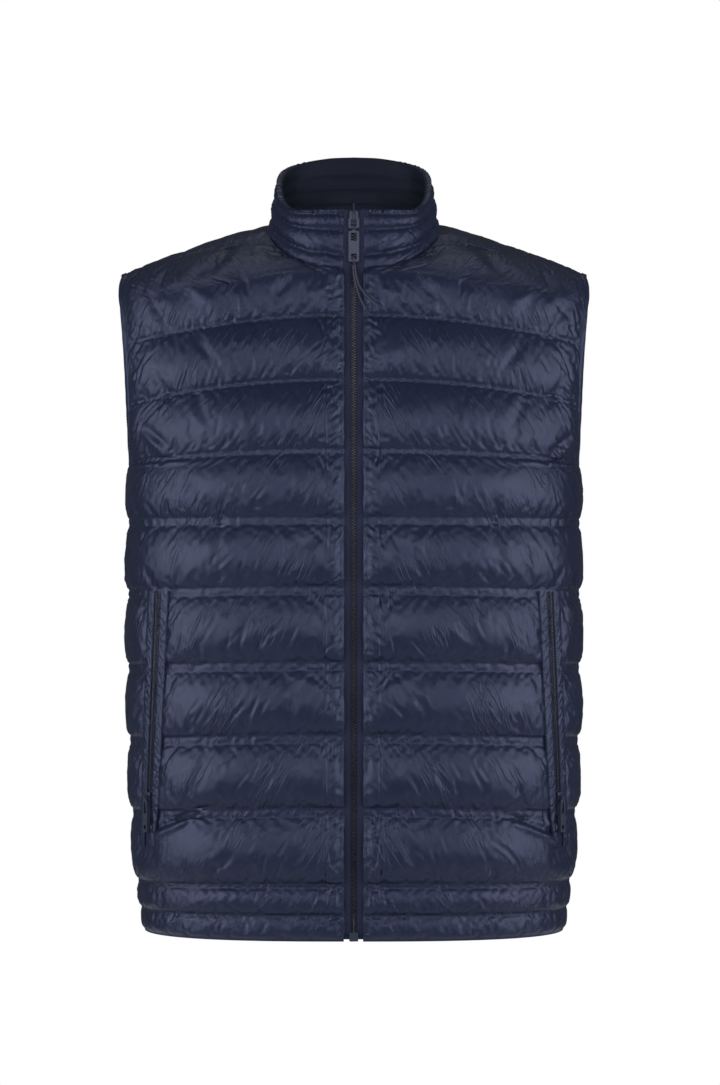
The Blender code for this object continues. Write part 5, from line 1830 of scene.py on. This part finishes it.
@dataclass
class SidePocket:
    """The zipped pocket of each front."""

    chain_half_width: float = 3.4
    lip_width: float = 10.5
    lip_wall: float = 2.0
    rows: int = 260
    columns: int = 13
    pucker_spacing: float = 3.8
    first_seed: int = 300
    seed_step: int = 20
    teeth: ZipTeeth = field(default_factory=lambda: ZipTeeth(1.3, 2.6, 1.4, 1.1, 1.7))
    stitches: Stitches = field(default_factory=lambda: Stitches(pitch=2.8, length=2.2))

    def build(self, workshop: Workshop) -> None:
        """Makes the lips, edges and chains of both pockets."""
        inner = self.chain_half_width + SEAM_GAP
        strips = (("lip", inner, inner + self.lip_width, 1.0), ("edge", -inner - self.lip_width, -inner, 1.3))
        for number, (word, low, high, uneven) in enumerate(strips):
            inside = POCKET.strip(low, high, POCKET.foot_z, POCKET.top_z, self.rows, self.columns)
            self.strip(workshop, word, inside, uneven, self.first_seed + self.seed_step * number)
        chain = POCKET.strip(-1.0, 1.0, POCKET.chain_foot_z, POCKET.top_z, 60, 3)
        out = normals_of(chain)[:, 1]
        across = chain[:, 2] - chain[:, 0]
        across /= np.linalg.norm(across, axis=1, keepdims=True)
        for side in Side:
            flip = (side.value, 1, 1)
            piece = MeshPiece("pocket_teeth_" + side.word)
            self.teeth.lay(piece, chain[:, 1] * flip, across * flip * side.value, out * flip)
            piece.make([workshop.finish(TEETH)], nodes=("pocket_chain_" + side.word,), sharp=40.0)

    def strip(self, workshop: Workshop, word: str, inside: np.ndarray, uneven: float, seed: int) -> None:
        """Makes one sewn strip beside each pocket's chain.

        Args:
            workshop: Holds the materials.
            word: The strip's name.
            inside: Points of its inside face on the +X front.
            uneven: Height of its puckers.
            seed: Seed of its puckers.
        """
        across = np.linspace(0.0, 1.0, self.columns)
        crown = (4 * across * (1 - across)) ** 0.4
        run = run_of(inside[:, 0])
        flat = np.stack(np.broadcast_arrays(across[None] * self.lip_width, run[:, None]), axis=2)
        puckers = Creasing(seed)
        for place in puckers.line(0.0, float(run[-1]), self.pucker_spacing):
            puckers.scatter(1, (0.0, 0.5 * self.lip_width), (place, place), (48, 16), (5, 12),
                            (-uneven, -0.3 * uneven), (0.6, 1.0))
        relief = puckers.shift(flat[..., 0], flat[..., 1]) * crown[None]
        wall = self.lip_wall * (0.6 + 0.45 * crown)[None] + relief
        outside = inside + normals_of(inside) * wall[..., None]
        quads = grid_quads(grid_index(inside.shape[:2]))
        for side in Side:
            inner, outer, place = on_side(side, inside, outside, flat)
            piece = MeshPiece("pocket_" + word + "_cloth_" + side.word)
            piece.wall(inner.reshape(-1, 3), outer.reshape(-1, 3), quads, place.reshape(-1, 2))
            made = piece.make([workshop.finish(SHELL)],
                              nodes=("pocket_" + word + "_" + side.word,))
            upright = normals_of(outer)
            lines = [(outer[:, column], upright[:, column]) for column in (1, self.columns - 2)]
            self.stitches.piece("pocket_" + word + "_stitches_" + side.word, lines, workshop)


@dataclass
class PullCord:
    """The cord knotted through the main pull tab, with its two free tails."""

    radius: float = 0.85
    knot_centre: tuple[float, float, float] = (0.0, -93.49, -40.0)
    knot_radii: tuple[float, float] = (2.6, 2.9)
    exit_m: tuple[float, float, float] = (0.0, -0.0942, -0.0438)
    long_m: float = 0.0506
    short_m: float = 0.0483

    def curve(self, name: str, route: np.ndarray, cyclic: bool, workshop: Workshop) -> bpy.types.Object:
        """A round cord along a route.

        Args:
            name: The piece's name.
            route: Points of its centre line.
            cyclic: Whether it closes on itself.
            workshop: Holds the materials.

        Returns:
            The curve object.
        """
        curve = bpy.data.curves.new(name, "CURVE")
        curve.dimensions = "3D"
        curve.bevel_depth = self.radius * MM
        curve.bevel_resolution = 3
        curve.use_fill_caps = True
        spline = curve.splines.new("POLY")
        spline.points.add(len(route) - 1)
        for point, place in zip(spline.points, route):
            point.co = (*(Vector(place) * MM), 1.0)
        spline.use_cyclic_u = cyclic
        curve.materials.append(workshop.finish(CORD))
        made = bpy.data.objects.new(name, curve)
        bpy.context.scene.collection.objects.link(made)
        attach(made, "tab")
        return made

    def build(self, workshop: Workshop) -> None:
        """Makes the knot and both tails."""
        turns = np.linspace(0.0, 2 * math.pi, 41)[:-1]
        x, y, z = self.knot_centre
        ring = np.stack([np.full(40, x), y + self.knot_radii[0] * np.sin(turns),
                         z + self.knot_radii[1] * np.cos(turns)], axis=1)
        knot = self.curve("cord_knot_turn", ring, True, workshop)
        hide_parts("cord_knot")
        tails = (
            ("cord_tail_long", LONG_TAIL, self.long_m, [knot]),
            ("cord_tail_short", SHORT_TAIL, self.short_m, []),
        )
        for node, route, length, others in tails:
            tail = self.curve(node + "_free", smooth_route(route, 30), False, workshop)
            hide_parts(node)


@dataclass
class Hardware:
    """CAD pieces of metal that keep their shape and get rounded edges and a finish."""

    names: tuple[str, ...] = ("slider", "pull_link", "pull_tab", "zip_box", "pocket_slider_left",
                              "pocket_slider_right", "pocket_pull_left", "pocket_pull_right")
    edge: float = 0.25

    def build(self, workshop: Workshop, nodes: dict[str, bpy.types.Object]) -> None:
        """Dresses the metal nodes."""
        for name in self.names:
            node = nodes[name]
            node.data.materials.clear()
            node.data.materials.append(workshop.finish(METAL))
            bevel = node.modifiers.new("soft_edges", "BEVEL")
            bevel.width = self.edge * MM
            bevel.segments = 2
            bevel.limit_method = "ANGLE"
            bevel.angle_limit = math.radians(40)
            bevel.harden_normals = False
            LOG.info("%s dressed", name)


@dataclass
class Studio:
    """Camera, soft lights, white surroundings and a pale floor."""

    eye_x: float = 0.006
    eye_z: float = -0.314
    distance: float = 3.25
    sensor: float = 36.0
    metres_per_pixel: float = 0.001
    floor_z: float = -1.15

    def camera(self) -> None:
        """Puts the camera at the photograph's place."""
        data = bpy.data.cameras.new("photo_camera")
        data.sensor_width = self.sensor
        data.lens = self.sensor * self.distance / (PHOTO_HEIGHT * self.metres_per_pixel)
        made = bpy.data.objects.new("photo_camera", data)
        made.location = (self.eye_x, -self.distance, self.eye_z)
        made.rotation_euler = (math.pi / 2, 0.0, 0.0)
        bpy.context.scene.collection.objects.link(made)
        bpy.context.scene.camera = made

    def softbox(self, name: str, place: tuple, aim: tuple, size: tuple, power: float,
                spread: float = 180.0) -> None:
        """A rectangular soft light.

        Args:
            name: Its name.
            place: Where it stands, in metres.
            aim: What it points at, in metres.
            size: Width and height in metres.
            power: Power in watts.
            spread: Angle that it shines into, in degrees.
        """
        data = bpy.data.lights.new(name, "AREA")
        data.shape = "RECTANGLE"
        data.size, data.size_y = size
        data.energy = power
        data.spread = math.radians(spread)
        made = bpy.data.objects.new(name, data)
        made.location = place
        made.rotation_euler = (Vector(aim) - Vector(place)).to_track_quat("-Z", "Y").to_euler()
        bpy.context.scene.collection.objects.link(made)

    def surroundings(self) -> None:
        """White to look at, and dim as a light."""
        world = bpy.data.worlds.new("white_studio")
        bpy.context.scene.world = world
        world.use_nodes = True
        tree = world.node_tree
        back = tree.nodes["Background"]
        back.inputs["Color"].default_value = (1.0, 1.0, 1.0, 1.0)
        path = tree.nodes.new("ShaderNodeLightPath")
        level = tree.nodes.new("ShaderNodeMapRange")
        level.inputs["To Min"].default_value = 0.06
        level.inputs["To Max"].default_value = 1.0
        tree.links.new(path.outputs["Is Camera Ray"], level.inputs["Value"])
        tree.links.new(level.outputs["Result"], back.inputs["Strength"])

    def floor(self) -> None:
        """A plain pale floor under the garment."""
        mesh = bmesh.new()
        bmesh.ops.create_grid(mesh, x_segments=8, y_segments=8, size=1.1)
        data = bpy.data.meshes.new("floor")
        mesh.to_mesh(data)
        mesh.free()
        material = bpy.data.materials.new("pale_floor")
        material.use_nodes = True
        shader = material.node_tree.nodes["Principled BSDF"]
        shader.inputs["Base Color"].default_value = (0.85, 0.85, 0.85, 1.0)
        shader.inputs["Roughness"].default_value = 0.8
        data.materials.append(material)
        made = bpy.data.objects.new("floor", data)
        made.location = (0.0, 0.0, self.floor_z)
        bpy.context.scene.collection.objects.link(made)

    def build(self) -> None:
        """Makes the whole studio."""
        self.camera()
        target = (0.0, -0.05, -0.32)
        chest = (0.0, -0.05, -0.24)
        for side in Side:
            self.softbox("softbox_" + side.word, (side.value * 0.8, -1.85, 0.1), chest, (0.9, 0.5), 3.4,
                         spread=100.0)
            self.softbox("side_strip_" + side.word, (side.value * 2.2, -0.9, -0.18), target, (0.9, 1.4), 28.0)
        self.softbox("back_light", (0.0, 2.3, -0.4), target, (0.5, 1.0), 26.0)
        self.softbox("top_light", (0.0, 0.45, 1.9), target, (1.6, 0.8), 7.0)
        self.surroundings()
        self.floor()
        bpy.context.scene.view_settings.view_transform = "Standard"


def main() -> None:
    """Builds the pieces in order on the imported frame."""
    logging.basicConfig(level=logging.INFO, format="%(name)s %(message)s")
    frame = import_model()
    workshop = Workshop()
    workshop.prepare()
    Studio().build()
    PullCord().build(workshop)
    front_shares = np.concatenate([np.linspace(0.0, 0.1, 31)[:-1], np.linspace(0.1, 1.0, 150)])
    FrontPanel(FRONT_CUT, puff=7.2, side_puff=3.2, trial_spacing=4.2, column_shares=front_shares,
               fine_rows=1.7, creasing=Creasing(5)).build(workshop)
    back_shares = np.linspace(0.0, 1.0, 104)
    BackPanel(BACK_CUT, puff=7.2, side_puff=3.2, trial_spacing=4.6, column_shares=back_shares,
              fine_rows=2.9, creasing=Creasing(17), padding=Padding(seed=21), seam_reach=1.0).build(workshop)
    Collar().build(workshop)
    ArmholeEdging().build(workshop)
    FrontZip().build(workshop)
    SidePocket().build(workshop)
    Hardware().build(workshop, frame["nodes"])


if __name__ == "__main__":
    main()
